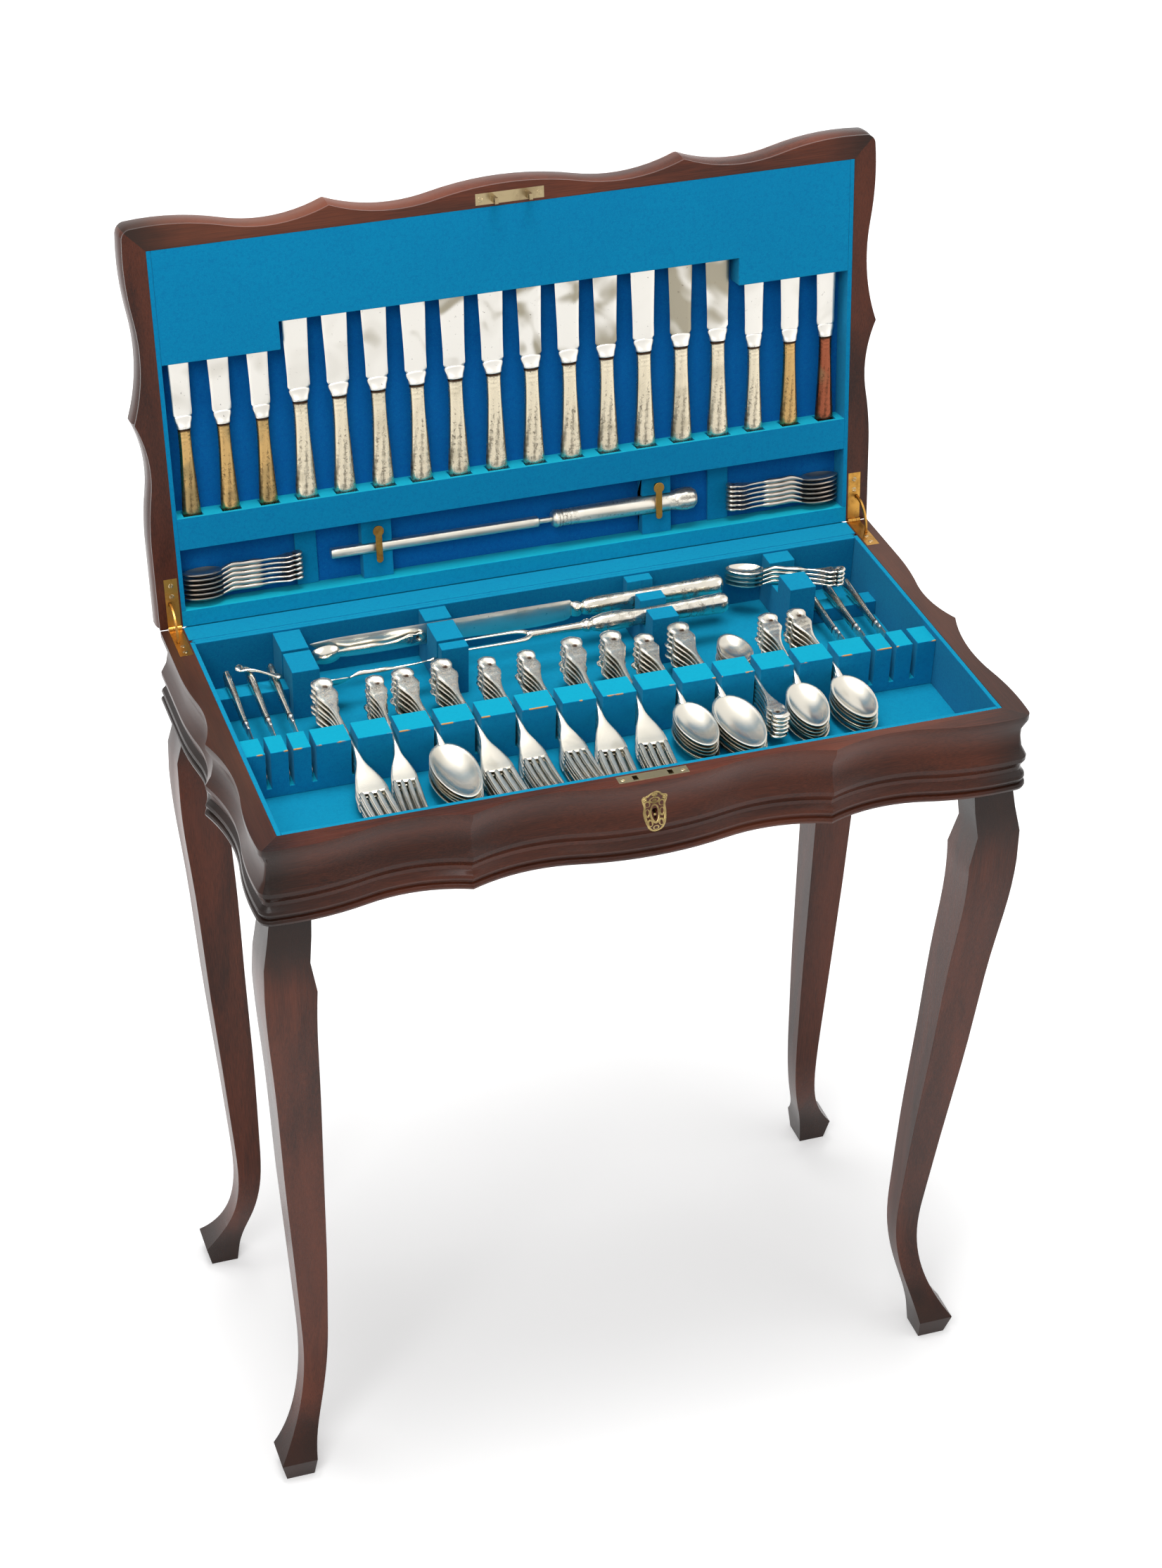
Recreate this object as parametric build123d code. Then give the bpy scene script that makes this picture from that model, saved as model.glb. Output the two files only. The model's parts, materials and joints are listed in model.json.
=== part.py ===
from build123d import *
import math
import os

# A mahogany table canteen: a shallow lined case on four square cabriole legs,
# with a hinged lid and its service of cutlery. Lengths are in millimetres.
# While it is modelled, X runs along the case, Y from front to back, and Z is
# measured from the plane where case and lid part. The last step puts the
# finished pieces on the floor, with the origin under the middle of the object.

# Case and lid
LINED_WIDTH = 640.0      # between the side rails
LINED_DEPTH = 312.4      # between the front and back rails
RIM_HEIGHT = 745.0       # floor to the parting plane
BACK_RAIL = 26.3         # thickness of the back rail
RIM_GAP = 0.4            # each rim stands this far off the parting plane
CASE_DEPTH = 74.0        # parting plane to the underside of the rails
FRIEZE_DEPTH = 56.0      # parting plane to the top of the base moulding
LID_DEPTH = 33.0         # parting plane to the top of the lid
LID_RAIL = 24.0          # parting plane to the underside of the lid panel
OPEN_ANGLE = 98.4        # how far the lid leans back when open

# Rail thickness at the turns of the serpentine outline
BOW = 20.6
DIP = 13.5
CUSP = 20.8
SHOULDER = 14.8
EAR = 21.4
EAR_BEND = 11.8
SIDE_DIP = 18.6
SIDE_CUSP = 26.8
SIDE_END = 23.0

# Lining and inner floor
LINING = 4.0
INNER_FLOOR = 50.0       # parting plane to the lined floor
FLOOR_T = 3.0
BOTTOM_T = 12.0
BAIZE = 1.0
BAIZE_GROOVE = 4.0       # bare strip between the lining and the back rail's baize
BLOCK = 45.0             # corner blocks under the bottom board

# Legs
LEG_DRIFT = 13.0         # how far the ankle stands nearer the middle than the knee
REAR_LEG_SHIFT = 7.5     # back legs stand this much further back than the front ones forward

# Fork rack
RACK_FRONT = -31.0
RACK_BACK = -5.0
RACK_TOP = -5.0
SLOT_PITCH = 36.7
SLOT_WIDTH = 5.7
SLOT_FLOOR = -41.0
FINE_SLOTS = (256.0, 276.0, 296.0)
FINE_SLOT_WIDTH = 4.5

# Rests for the carving pieces, and ledges for the small knives
REST_WIDTH = 25.0
REST_TOP = -2.0
LEDGE_FRONT = 95.0
LEDGE_BACK = 113.0

# Cutlery
NECK = 4.2               # depth of a fork's or spoon's neck
NECK_HALF = 1.6          # half its width
BOWL_START = 20.0        # from the middle of the neck to the bowl
BOWL_RIM = 0.4           # bowl rim above the underside of the neck
BOWL_WALL = 1.3
STACK_GAP = 0.3
STACK_SIZE = 6
STACK_LIFT = 1.0         # lowest neck above the slot floor, where it leans
TINES = 4
SMALL_KNIFE_TIP = -24.0  # where the small knives' tips lie in the fine slots
SMALL_GRIP = 74.0
SMALL_GRIP_HALF = 6.0
SMALL_BLADE = 75.0
SMALL_BLADE_WIDTH = 11.0
LEFT_LEAN = 7.0          # rise of the small knives towards the back
RIGHT_LEAN = 2.5         # less at the right, where teaspoons lie over them
SEAT_GAP = 0.3           # between a piece and what it rests on

# Hinges and stays
BARREL = 2.5             # radius of the hinge barrel
PIN = 1.1
PIN_FIT = 0.05
BARREL_CLEAR = 0.6
LEAF_T = 1.5
LEAF_IN = 1.5            # leaf edge to the inner face of the side rail
LEAF_WIDTH = 12.0
LEAF_LENGTH = 47.0
STAY_IN = 22.0
STAY_OUT = 25.0
STAY_T = 1.8
STAY_CLEAR = 0.4
STAY_GRIP = 3.0          # degrees of the stay that stay inside each rim

# Lock
LOCK_LENGTH = 62.0
LOCK_WIDTH = 10.0
LOCK_SETBACK = 7.0       # lining to the middle of the lock plate
LOCK_PLATE = 1.5
LOCK_CASE_LENGTH = 52.0
LOCK_CASE_T = 8.0
LOCK_CASE_DEPTH = 46.0
LOCK_WALL = 1.0
STAPLE_AT = 15.5
STAPLE_LENGTH = 12.0
STAPLE_T = 3.2
STAPLE_WIDTH = 5.0
BOLT_TRAVEL = 5.0
BOLT_POST = 2.0
KEYHOLE_DROP = 31.0

# Lid fittings, heights from the hinge axis towards the lid's front edge
LID_BACK_RAIL = 14.0
RECESS = 22.0            # depth of the lid's lined recess
KNIFE_RAIL_LOW = 72.0
KNIFE_RAIL_HIGH = 101.0
POCKET_FLOOR = 91.0
POCKET_LIP = 4.0
TIP_BOARD_MID = 264.0
TIP_BOARD_SIDE = 239.5
TIP_STEP = 211.0
KNIFE_COUNT = 12
KNIFE_FIRST = -195.0
KNIFE_PITCH = 35.45
SIDE_KNIVES = (230.0, 265.0, 300.0)
KNIFE_DEPTH = 11.8       # middle of the knives, from the lid's rim
TABLE_KNIFE = 233.0      # length of a table knife, and of its grip
TABLE_GRIP = 98.0
DESSERT_KNIFE = 213.0
DESSERT_GRIP = 88.0
POCKET_HALF = 10.4
BLADE_SLOT_HALF = 11.0
BLADE_SLOT_T = 3.0
TIP_CLEAR = 7.0
CLIP_BLOCK_AT = 134.0
CLIP_BLOCK_WIDTH = 28.0
CLIP_BLOCK_FACE = 9.6
DIVIDER_AT = 198.0
STEEL_H = 43.0
STEEL_DEPTH = 12.4
STEEL_TIP = -177.0
STEEL_BLADE = 216.0
STEEL_ROD = 4.5
STEEL_BUTT = 8.6         # largest radius of its handle where the clip turns
STEEL_FIT = 0.5
CLIP_H = 61.0
CLIP_LENGTH = 30.0
CLIP_T = 1.4
CLIP_CLEAR = 0.4

HALF_WIDTH = LINED_WIDTH / 2
FRONT = -LINED_DEPTH / 2
BACK = LINED_DEPTH / 2
CASE_BACK = BACK + BACK_RAIL
LINED_X = HALF_WIDTH - LINING
LID_LEDGE = LID_BACK_RAIL + BAIZE
LID_INNER = CASE_BACK - FRONT


def box(x0, x1, y0, y1, z0, z1):
    """Box between two corners."""
    size = Box(abs(x1 - x0), abs(y1 - y0), abs(z1 - z0))
    return Pos((x0 + x1) / 2, (y0 + y1) / 2, (z0 + z1) / 2) * size


def lid_box(x0, x1, h0, h1, d0, d1):
    """Box in the closed lid, by height from the hinge and depth from the rim."""
    return box(x0, x1, CASE_BACK - h1, CASE_BACK - h0, d0, d1)


def prism_y(points, y0, y1):
    """Outline in X and Z carried from y0 to y1."""
    plane = Plane(origin=(0, y1, 0), x_dir=(1, 0, 0), z_dir=(0, -1, 0))
    return extrude(plane * make_face(Polyline(*points, close=True)), amount=y1 - y0)


def prism_x(points, x0, x1):
    """Outline in Y and Z carried from x0 to x1."""
    plane = Plane(origin=(x0, 0, 0), x_dir=(0, 1, 0), z_dir=(1, 0, 0))
    return extrude(plane * make_face(Polyline(*points, close=True)), amount=x1 - x0)


def prism_z(points, z0, z1):
    """Outline in X and Y carried from z0 to z1."""
    return extrude(Pos(0, 0, z0) * make_face(Polyline(*points, close=True)), amount=z1 - z0)


def rod_x(radius, x0, x1, y, z):
    """Round rod along X."""
    return Pos((x0 + x1) / 2, y, z) * Rot(0, 90, 0) * Cylinder(radius, x1 - x0)


# Serpentine outline and mouldings

def arc_chain(points, heading):
    """Arcs through the points, each tangent to the one before."""
    edges = []
    for start, end in zip(points, points[1:]):
        way = (math.cos(math.radians(heading)), math.sin(math.radians(heading)))
        edges.append(TangentArc(start, end, tangent=way))
        chord = math.degrees(math.atan2(end[1] - start[1], end[0] - start[0]))
        heading = 2 * chord - heading
    return edges


def outline():
    """Serpentine line of the widest moulding, open along the back."""
    middle = (0, FRONT - BOW)
    dip = (0.206 * HALF_WIDTH, FRONT - DIP)
    cusp = (0.5 * HALF_WIDTH, FRONT - CUSP)
    shoulder = (0.781 * HALF_WIDTH, FRONT - SHOULDER)
    ear_front = (HALF_WIDTH + EAR_BEND, FRONT - EAR)
    ear_side = (HALF_WIDTH + EAR, FRONT - EAR_BEND)
    side_dip = (HALF_WIDTH + SIDE_DIP, 0.64 * FRONT)
    side_cusp = (HALF_WIDTH + SIDE_CUSP, 0.05 * FRONT)
    side_back = (HALF_WIDTH + SIDE_DIP, 0.37 * BACK)
    side_end = (HALF_WIDTH + SIDE_END, 0.68 * BACK)
    edges = arc_chain([middle, dip, cusp], 0)
    edges += arc_chain([cusp, shoulder, ear_front, ear_side, side_dip, side_cusp], 22)
    edges += arc_chain([side_cusp, side_back, side_end], 114.3)
    edges.append(Line(side_end, (HALF_WIDTH + SIDE_END, CASE_BACK)))
    half = Wire(edges)
    return Wire(list(half.edges()) + list(half.mirror(Plane.YZ).edges()))


def along_outline(points):
    """Closed moulding section, as offsets outward and heights, swept round the case."""
    path = outline()
    start = path @ 0
    heading = path % 0
    outward = Vector(heading.Y, -heading.X, 0)
    plane = Plane(origin=start, x_dir=outward, z_dir=outward.cross(Vector(0, 0, 1)))
    section = plane * make_face(Polyline(*points, close=True))
    return sweep(sections=section, path=path, transition=Transition.RIGHT)


def moulded(profile, low, high):
    """Case outline between two heights, its edge worked to a profile from the top down."""
    reach = 9.0
    over = 1.0
    path = outline()
    face = make_face(Wire([*path.edges(), Line(path @ 1, path @ 0)]).edges())
    core = extrude(Pos(0, 0, low) * face, amount=high - low)
    top = (profile[0][0], high + over)
    bottom = (profile[-1][0], low - over)
    waste = [(reach, high + over), top, *profile, bottom, (reach, low - over)]
    return core - along_outline(waste)


def mitre_zone(side):
    """Space that a front, left or right length takes, cut at 45 degrees at the corners."""
    far = 60.0
    if side == "front":
        points = [(-HALF_WIDTH, FRONT), (HALF_WIDTH, FRONT)]
        points += [(HALF_WIDTH + far, FRONT - far), (-HALF_WIDTH - far, FRONT - far)]
    else:
        sign = 1 if side == "right" else -1
        points = [(sign * HALF_WIDTH, FRONT), (sign * (HALF_WIDTH + far), FRONT - far)]
        points += [(sign * (HALF_WIDTH + far), CASE_BACK + far), (sign * HALF_WIDTH, CASE_BACK + far)]
    return prism_z(points, -CASE_DEPTH - 1, LID_DEPTH + 1)


def mitred(ring):
    """Front, left and right lengths of a moulded ring."""
    return {side: ring & mitre_zone(side) for side in ("front", "left", "right")}


# Hinges, stays and lock

def leaf_span(side):
    """X limits of a hinge leaf."""
    inner = HALF_WIDTH + LEAF_IN
    return sorted((side * inner, side * (inner + LEAF_WIDTH)))


def arc_strip(inner, outer, x0, x1, start, end):
    """Strip about the hinge axis between two angles from the front upwards."""
    edges = [CenterArc((0, 0), inner, start, end - start), CenterArc((0, 0), outer, start, end - start)]
    edges += [Line(edges[0] @ 0, edges[1] @ 0), Line(edges[0] @ 1, edges[1] @ 1)]
    plane = Plane(origin=(x1, CASE_BACK, 0), x_dir=(0, -1, 0), z_dir=(-1, 0, 0))
    return extrude(plane * make_face(edges), amount=x1 - x0)


def stay_slot(side, lower):
    """Room that a stay needs in the case rail or, in the closed lid, in the lid rail."""
    middle = side * (HALF_WIDTH + LEAF_IN + LEAF_WIDTH * 0.7)
    half = STAY_T / 2 + STAY_CLEAR
    reach = OPEN_ANGLE / 2 + STAY_GRIP + 2
    span = (-reach, 6) if lower else (-6, reach)
    return arc_strip(STAY_IN - STAY_CLEAR, STAY_OUT + STAY_CLEAR, middle - half, middle + half, *span)


def stay(side):
    """Curved stay as it lies with the lid open."""
    middle = side * (HALF_WIDTH + LEAF_IN + LEAF_WIDTH * 0.7)
    x0, x1 = middle - STAY_T / 2, middle + STAY_T / 2
    return arc_strip(STAY_IN, STAY_OUT, x0, x1, -STAY_GRIP, OPEN_ANGLE + STAY_GRIP)


def knuckle_spans(side, lower):
    """X limits of the barrel lengths of one leaf: two on the case, one on the lid."""
    x0, x1 = leaf_span(side)
    third = (x1 - x0) / 3
    cut = 0.15
    if lower:
        return [(x0, x0 + third - cut), (x1 - third + cut, x1)]
    return [(x0 + third + cut, x1 - third - cut)]


def barrel_room(side):
    """Notch in a rail round the hinge barrel."""
    x0, x1 = leaf_span(side)
    return rod_x(BARREL + BARREL_CLEAR, x0 - 0.3, x1 + 0.3, CASE_BACK, 0)


def hinge_leaf(side, lower):
    """Leaf let into a rim, with its barrel lengths and, on the case, the pin."""
    x0, x1 = leaf_span(side)
    sign = -1 if lower else 1
    leaf = box(x0, x1, CASE_BACK - LEAF_LENGTH, CASE_BACK, sign * RIM_GAP, sign * (RIM_GAP + LEAF_T))
    for a, b in knuckle_spans(side, not lower):
        leaf -= rod_x(BARREL + BARREL_CLEAR / 2, a - 0.2, b + 0.2, CASE_BACK, 0)
    for a, b in knuckle_spans(side, lower):
        leaf += rod_x(BARREL, a, b, CASE_BACK, 0)
    leaf -= stay_slot(side, lower)
    if lower:
        leaf -= rod_x(PIN, x0 - 1, x1 + 1, CASE_BACK, 0)
        return Compound(children=[leaf.solid(), rod_x(PIN, x0, x1, CASE_BACK, 0).solid()])
    return leaf - rod_x(PIN + PIN_FIT, x0 - 1, x1 + 1, CASE_BACK, 0)


def leaf_bed(side, lower):
    """Wood taken out for a leaf, its barrel and its stay."""
    x0, x1 = leaf_span(side)
    sign = -1 if lower else 1
    bed = box(x0, x1, CASE_BACK - LEAF_LENGTH, CASE_BACK, 0, sign * (RIM_GAP + LEAF_T))
    return bed + barrel_room(side) + stay_slot(side, lower)


LOCK_Y = FRONT - LOCK_SETBACK
LOCK_TOP = -RIM_GAP - LOCK_PLATE
STAPLE_EYE_DROP = 7.0
EYE = (3.0, 4.6)
PRONG = (2.2, 3.6)
PRONG_LENGTH = BOLT_TRAVEL + 1.8
PRONG_CLEAR = 0.6


def lock_plate_room():
    """Bed of the lock plate in the front rail."""
    half = LOCK_LENGTH / 2
    y0, y1 = LOCK_Y - LOCK_WIDTH / 2, LOCK_Y + LOCK_WIDTH / 2
    return box(-half, half, y0, y1, LOCK_TOP, 0)


def lock_mortise():
    """Pocket for the lock case under its plate."""
    half = LOCK_CASE_LENGTH / 2
    y0, y1 = LOCK_Y - LOCK_CASE_T / 2, LOCK_Y + LOCK_CASE_T / 2
    return box(-half, half, y0, y1, LOCK_TOP - LOCK_CASE_DEPTH, LOCK_TOP)


def staple_slots(extra):
    """Openings of the lock plate for the two staples."""
    half_x = STAPLE_T / 2 + extra
    half_y = STAPLE_WIDTH / 2 + extra
    slots = []
    for x in (-STAPLE_AT, STAPLE_AT):
        slots.append(box(x - half_x, x + half_x, LOCK_Y - half_y, LOCK_Y + half_y, LOCK_TOP - 2, 0))
    return slots[0] + slots[1]


def keyhole(y0, y1, radius):
    """Round-topped keyhole from y0 to y1."""
    middle = -KEYHOLE_DROP
    hole = Pos(0, (y0 + y1) / 2, middle) * Rot(90, 0, 0) * Cylinder(radius, y1 - y0)
    return hole + box(-radius / 2, radius / 2, y0, y1, middle - 3 * radius, middle)


def lock_case():
    """Plate and hollow case of the lock."""
    half = LOCK_CASE_LENGTH / 2
    y0, y1 = LOCK_Y - LOCK_CASE_T / 2, LOCK_Y + LOCK_CASE_T / 2
    low = LOCK_TOP - LOCK_CASE_DEPTH
    plate = lock_plate_room() & box(-400, 400, -400, 400, LOCK_TOP, -RIM_GAP)
    body = plate + box(-half, half, y0, y1, low, LOCK_TOP)
    w = LOCK_WALL
    body -= box(-half + w, half - w, y0 + w, y1 - w, low + w, LOCK_TOP - w)
    return body - staple_slots(0.6) - keyhole(y0 - 1, LOCK_Y, 2.2)


def lock_bolt():
    """Sliding bolt, drawn back, with one prong for each staple."""
    half_y = PRONG[0] / 2
    eye_z = LOCK_TOP - STAPLE_EYE_DROP
    z0, z1 = eye_z - PRONG[1] / 2, eye_z + PRONG[1] / 2
    bar_low = eye_z - 11.0
    bolt = None
    for x in (-STAPLE_AT, STAPLE_AT):
        tip = x - STAPLE_T / 2 - PRONG_CLEAR
        back = tip - PRONG_LENGTH
        prong = box(back, tip, LOCK_Y - half_y, LOCK_Y + half_y, z0, z1)
        post = box(back, back + BOLT_POST, LOCK_Y - half_y, LOCK_Y + half_y, bar_low, z1)
        bolt = prong + post if bolt is None else bolt + prong + post
    start = -STAPLE_AT - STAPLE_T / 2 - PRONG_CLEAR - PRONG_LENGTH
    end = start + 2 * STAPLE_AT + BOLT_POST
    return bolt + box(start, end, LOCK_Y - half_y, LOCK_Y + half_y, bar_low - 5, bar_low)


def link_plate():
    """Plate on the lid's rim with its two staples, in the closed lid."""
    half = LOCK_LENGTH / 2
    y0, y1 = LOCK_Y - LOCK_WIDTH / 2, LOCK_Y + LOCK_WIDTH / 2
    plate = box(-half, half, y0, y1, RIM_GAP, RIM_GAP + LOCK_PLATE)
    eye_z = LOCK_TOP - STAPLE_EYE_DROP
    for x in (-STAPLE_AT, STAPLE_AT):
        staple = Pos(x, LOCK_Y, RIM_GAP - STAPLE_LENGTH / 2) * Box(STAPLE_T, STAPLE_WIDTH, STAPLE_LENGTH)
        plate += staple - Pos(x, LOCK_Y, eye_z) * Box(2 * STAPLE_T, *EYE)
    return plate


ESCUTCHEON = [(0, -11), (4, -14), (9, -15), (12, -21), (10, -29), (11.5, -38), (8, -46), (0, -52)]


def escutcheon(rail):
    """Brass plate over the keyhole, bent to the moulding behind it."""
    left = [(-x, z) for x, z in reversed(ESCUTCHEON[1:-1])]
    shield = prism_y(ESCUTCHEON + left, FRONT - BOW - 6, FRONT)
    face = frieze[1:-1]
    outer = [(FRONT - BOW - offset - 1.6, z) for offset, z in face]
    inner = [(FRONT - BOW - offset + 1.2, z) for offset, z in reversed(face)]
    band = prism_x(outer + inner, -14, 14)
    plate = (band & shield) - rail
    return plate - keyhole(FRONT - BOW - 6, FRONT, 2.0)


# Legs

LEG_STATIONS = [
    (1.000, 13.0, -23.0),
    (0.969, 16.5, -21.5),
    (0.934, 21.5, -18.5),
    (0.888, 22.3, -23.5),
    (0.833, 21.0, -22.5),
    (0.733, 15.8, -24.5),
    (0.563, 9.5, -26.7),
    (0.408, 2.5, -29.0),
    (0.267, -3.5, -29.5),
    (0.186, -5.2, -28.0),
    (0.109, 2.5, -19.0),
    (0.067, 14.0, -11.0),
    (0.034, 28.5, -6.5),
]
LEG_SOLE = (23.5, -4.0)


def leg_side(sideways):
    """Closed side view of a leg as points of distance from the middle and height."""
    length = RIM_HEIGHT - CASE_DEPTH
    base = HALF_WIDTH
    shift = [0.0] * len(LEG_STATIONS)
    if sideways:
        base = -FRONT
        shift = [LEG_DRIFT * min(1, max(0, (0.833 - s[0]) / 0.65)) for s in LEG_STATIONS]
    outer = [(base + s[1] - d, s[0] * length) for s, d in zip(LEG_STATIONS, shift)]
    inner = [(base + s[2] - d, s[0] * length) for s, d in zip(LEG_STATIONS, shift)]
    sole = [(base + x - shift[-1], 0) for x in LEG_SOLE]
    return outer, inner, sole


def leg_face(sideways):
    """Side view of a leg: straight ears at the top, then flowing curves to the foot."""
    outer, inner, sole = leg_side(sideways)
    knee = 3
    lines = [Polyline(*outer[:knee + 1]), Spline(*outer[knee:])]
    lines += [Line(outer[-1], sole[0]), Line(sole[0], sole[1]), Line(sole[1], inner[-1])]
    lines += [Spline(*reversed(inner[knee:])), Polyline(*reversed(inner[:knee + 1]))]
    lines.append(Line(inner[0], outer[0]))
    return make_face([edge for line in lines for edge in line.edges()])


def leg():
    """Square cabriole leg, sawn to a curve on two sides, at the front right."""
    wide = Plane(origin=(0, 0, -RIM_HEIGHT), x_dir=(1, 0, 0), z_dir=(0, -1, 0))
    deep = Plane(origin=(0, 0, -RIM_HEIGHT), x_dir=(0, -1, 0), z_dir=(-1, 0, 0))
    across = extrude(wide * leg_face(False), amount=LINED_DEPTH)
    along = extrude(deep * leg_face(True), amount=-LINED_WIDTH)
    return across & along


# Cutlery

def bar(stations):
    """Ruled bar along Y through upright rectangles: y, half width, low and high."""
    sections = []
    for y, half, low, high in stations:
        plane = Plane(origin=(0, y, (low + high) / 2), x_dir=(1, 0, 0), z_dir=(0, 1, 0))
        sections.append(plane * Rectangle(2 * half, high - low))
    return loft(sections, ruled=True)


def grip(stations):
    """Eight-sided grip along Y through sections of y, half width and half thickness."""
    sections = []
    for y, w, t in stations:
        c = 0.42
        points = [(w, c * t), (c * w, t), (-c * w, t), (-w, c * t)]
        points += [(-x, -z) for x, z in points]
        plane = Plane(origin=(0, y, 0), x_dir=(1, 0, 0), z_dir=(0, 1, 0))
        sections.append(plane * make_face(Polyline(*points, close=True)))
    return loft(sections, ruled=True)


def handle(length, width):
    """Shaped handle of a fork or spoon, from its neck at the origin along +Y."""
    reach = (RACK_BACK - RACK_FRONT) / 2 + 0.5
    stem = [(-reach, NECK_HALF, 0, NECK), (reach, NECK_HALF, 0, NECK), (0.3 * length, 2.6, 0.4, 3.4)]
    waist = [(0.56 * length, 3.3, 1.2, 3.4), (0.64 * length, 0.32 * width, 1.4, 3.6)]
    end = [(0.86 * length, 0.5 * width, 2.4, 4.6), (0.96 * length, 0.42 * width, 3.0, 5.2)]
    return bar(stem + waist + end + [(length, 0.2 * width, 3.2, 5.0)])


def fork(grip_length, head_length, width):
    """Four-tined fork with its neck at the origin and its head along -Y."""
    root = 0.56 * head_length
    half = width / 2
    head = [(-13.5, NECK_HALF, 0, NECK), (-20, 2.6, -0.6, 2.4)]
    head += [(-0.36 * head_length, 0.84 * half, -3.6, -1.6), (-root, half, -5.0, -3.0)]
    solid = handle(grip_length, 0.85 * width) + bar(list(reversed(head)))
    tine = width / (TINES + 0.75 * (TINES - 1))
    for k in range(TINES):
        x = -half + tine / 2 + 1.75 * tine * k
        tip = bar([(-head_length, 0.25 * tine, 1.0, 2.0), (-root + 0.5, 0.5 * tine, -5.0, -3.0)])
        solid += Pos(x, 0, 0) * tip
    return solid


def egg(length, width, scale):
    """Bowl outline with its tip along -Y."""
    points = []
    sides = 12
    for k in range(sides):
        t = 2 * math.pi * (k + 0.5) / sides
        x = scale * width / 2 * math.sin(t) * (1 + 0.1 * math.cos(t))
        points.append((x, scale * length / 2 * math.cos(t)))
    return make_face(Polyline(*points, close=True))


def hollow(length, width, deep, top, spread):
    """Space inside a spoon bowl, carried up to a height above the rim."""
    low = Pos(0, 0, -deep + BOWL_WALL) * egg(length, width, 0.36)
    return loft([low, Pos(0, 0, top) * egg(length, width, spread)], ruled=True)


def bowl(length, width, deep):
    """Open spoon bowl with its rim at z 0."""
    body = loft([Pos(0, 0, -deep) * egg(length, width, 0.42), egg(length, width, 1.0)], ruled=True)
    return body - hollow(length, width, deep, 0.01, 0.93)


def spoon(grip_length, bowl_length, width, deep):
    """Spoon with its neck at the origin and its bowl along -Y."""
    neck = [(-BOWL_START - 6, 2.6, -2.4, 0.2), (-17, 2.4, -0.6, 2.4), (-13.5, NECK_HALF, 0, NECK)]
    place = Pos(0, -BOWL_START - bowl_length / 2, BOWL_RIM)
    inside = place * hollow(bowl_length, width, deep, 6, 1.2)
    stem = handle(grip_length, 0.5 * width + 3)
    return stem + (bar(neck) - inside) + place * bowl(bowl_length, width, deep)


# Each stack of the case: its slot, its kind, how far it is turned, and its lean
STACKS = [
    (-6, "table_fork", -3.0),
    (-5, "dessert_fork", 4.0),
    (-4, "table_spoon", -4.0),
    (-3, "table_fork", -4.0),
    (-2, "dessert_fork", -2.0),
    (-1, "dessert_fork", -2.0),
    (0, "table_fork", 4.0),
    (1, "table_fork", 4.0),
    (2, "dessert_spoon", -3.0),
    (3, "table_spoon", -4.0),
    (4, "small_spoon", 180.0),
    (5, "dessert_spoon", 4.0),
    (6, "dessert_spoon", -4.0),
]


def stack(piece, slot, turn):
    """Pieces lying on each other in one slot of the rack, heads low and handles high."""
    middle = (RACK_FRONT + RACK_BACK) / 2
    pieces = []
    for k in range(STACK_SIZE):
        lean = 2.6 + 0.8 * k if abs(turn) < 90 else -1.0 - 0.4 * k
        at = Pos(slot * SLOT_PITCH, middle, SLOT_FLOOR + STACK_LIFT + k * (NECK + STACK_GAP))
        pieces.append(at * Rot(0, 0, -turn) * Rot(lean, 0, 0) * piece)
    return pieces


def knife(grip_length, grip_half, grip_t, blade_length, blade_width):
    """Knife along +Y from its butt, blade flat, middle of its thickness at z 0."""
    w = grip_half
    t = grip_t / 2
    body = grip([(0, 0.55 * w, 0.5 * t), (5, w, t), (0.2 * grip_length, 0.95 * w, t),
                 (0.42 * grip_length, 0.62 * w, 0.8 * t), (grip_length, 0.66 * w, 0.75 * t)])
    b = blade_width / 2
    y = grip_length
    end = y + blade_length
    points = [(-0.5 * b, y - 1), (-b, y + 8), (-b, end - 9), (-0.7 * b, end - 3), (-0.2 * b, end)]
    points += [(0.5 * b, end - 2), (b, end - 10), (0.92 * b, y + 8), (0.5 * b, y - 1)]
    return body + prism_z(points, -0.9, 0.9)


def in_lid(x, h, depth):
    """Place for a piece that lies along the lid, butt at height h."""
    return Pos(x, CASE_BACK - h, depth) * Rot(0, 0, 180)


# Build every piece

nodes = {}

# Moulding sections: offset from the widest line, and share of the way down or up
RIM_SET = -2.0
SHELF = -7.0
FRIEZE = [(RIM_SET, 0.107), (-7, 0.286), (-7, 0.41), (-5, 0.59), (0, 0.75), (0, 0.82)]
FRIEZE += [(-3.5, 0.93), (-3.5, 1)]
BEADS = [(SHELF, 0), (-3.5, 0), (-2.5, 0.083), (0.2, 0.222), (1, 0.36), (0.2, 0.5), (-1.6, 0.567)]
BEADS += [(-1.4, 0.622), (1.2, 0.678), (2, 0.805), (1.2, 0.944), (-0.5, 1), (SHELF, 1)]
LID_EDGE = [(-5, 1), (-3.4, 0.955), (-1.5, 0.85), (-0.5, 0.727), (-0.5, 0.455), (-1.2, 0.273), (-3, 0.136)]
LID_EDGE += [(RIM_SET, 0.091)]

frieze = [(RIM_SET, -RIM_GAP), *[(x, -share * FRIEZE_DEPTH) for x, share in FRIEZE]]
frieze += [(SHELF, -FRIEZE_DEPTH), (SHELF, -CASE_DEPTH)]
bead = [(x, -FRIEZE_DEPTH - share * (CASE_DEPTH - FRIEZE_DEPTH)) for x, share in BEADS]
lid_edge = [*[(x, share * LID_DEPTH) for x, share in LID_EDGE], (RIM_SET, RIM_GAP)]

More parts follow.
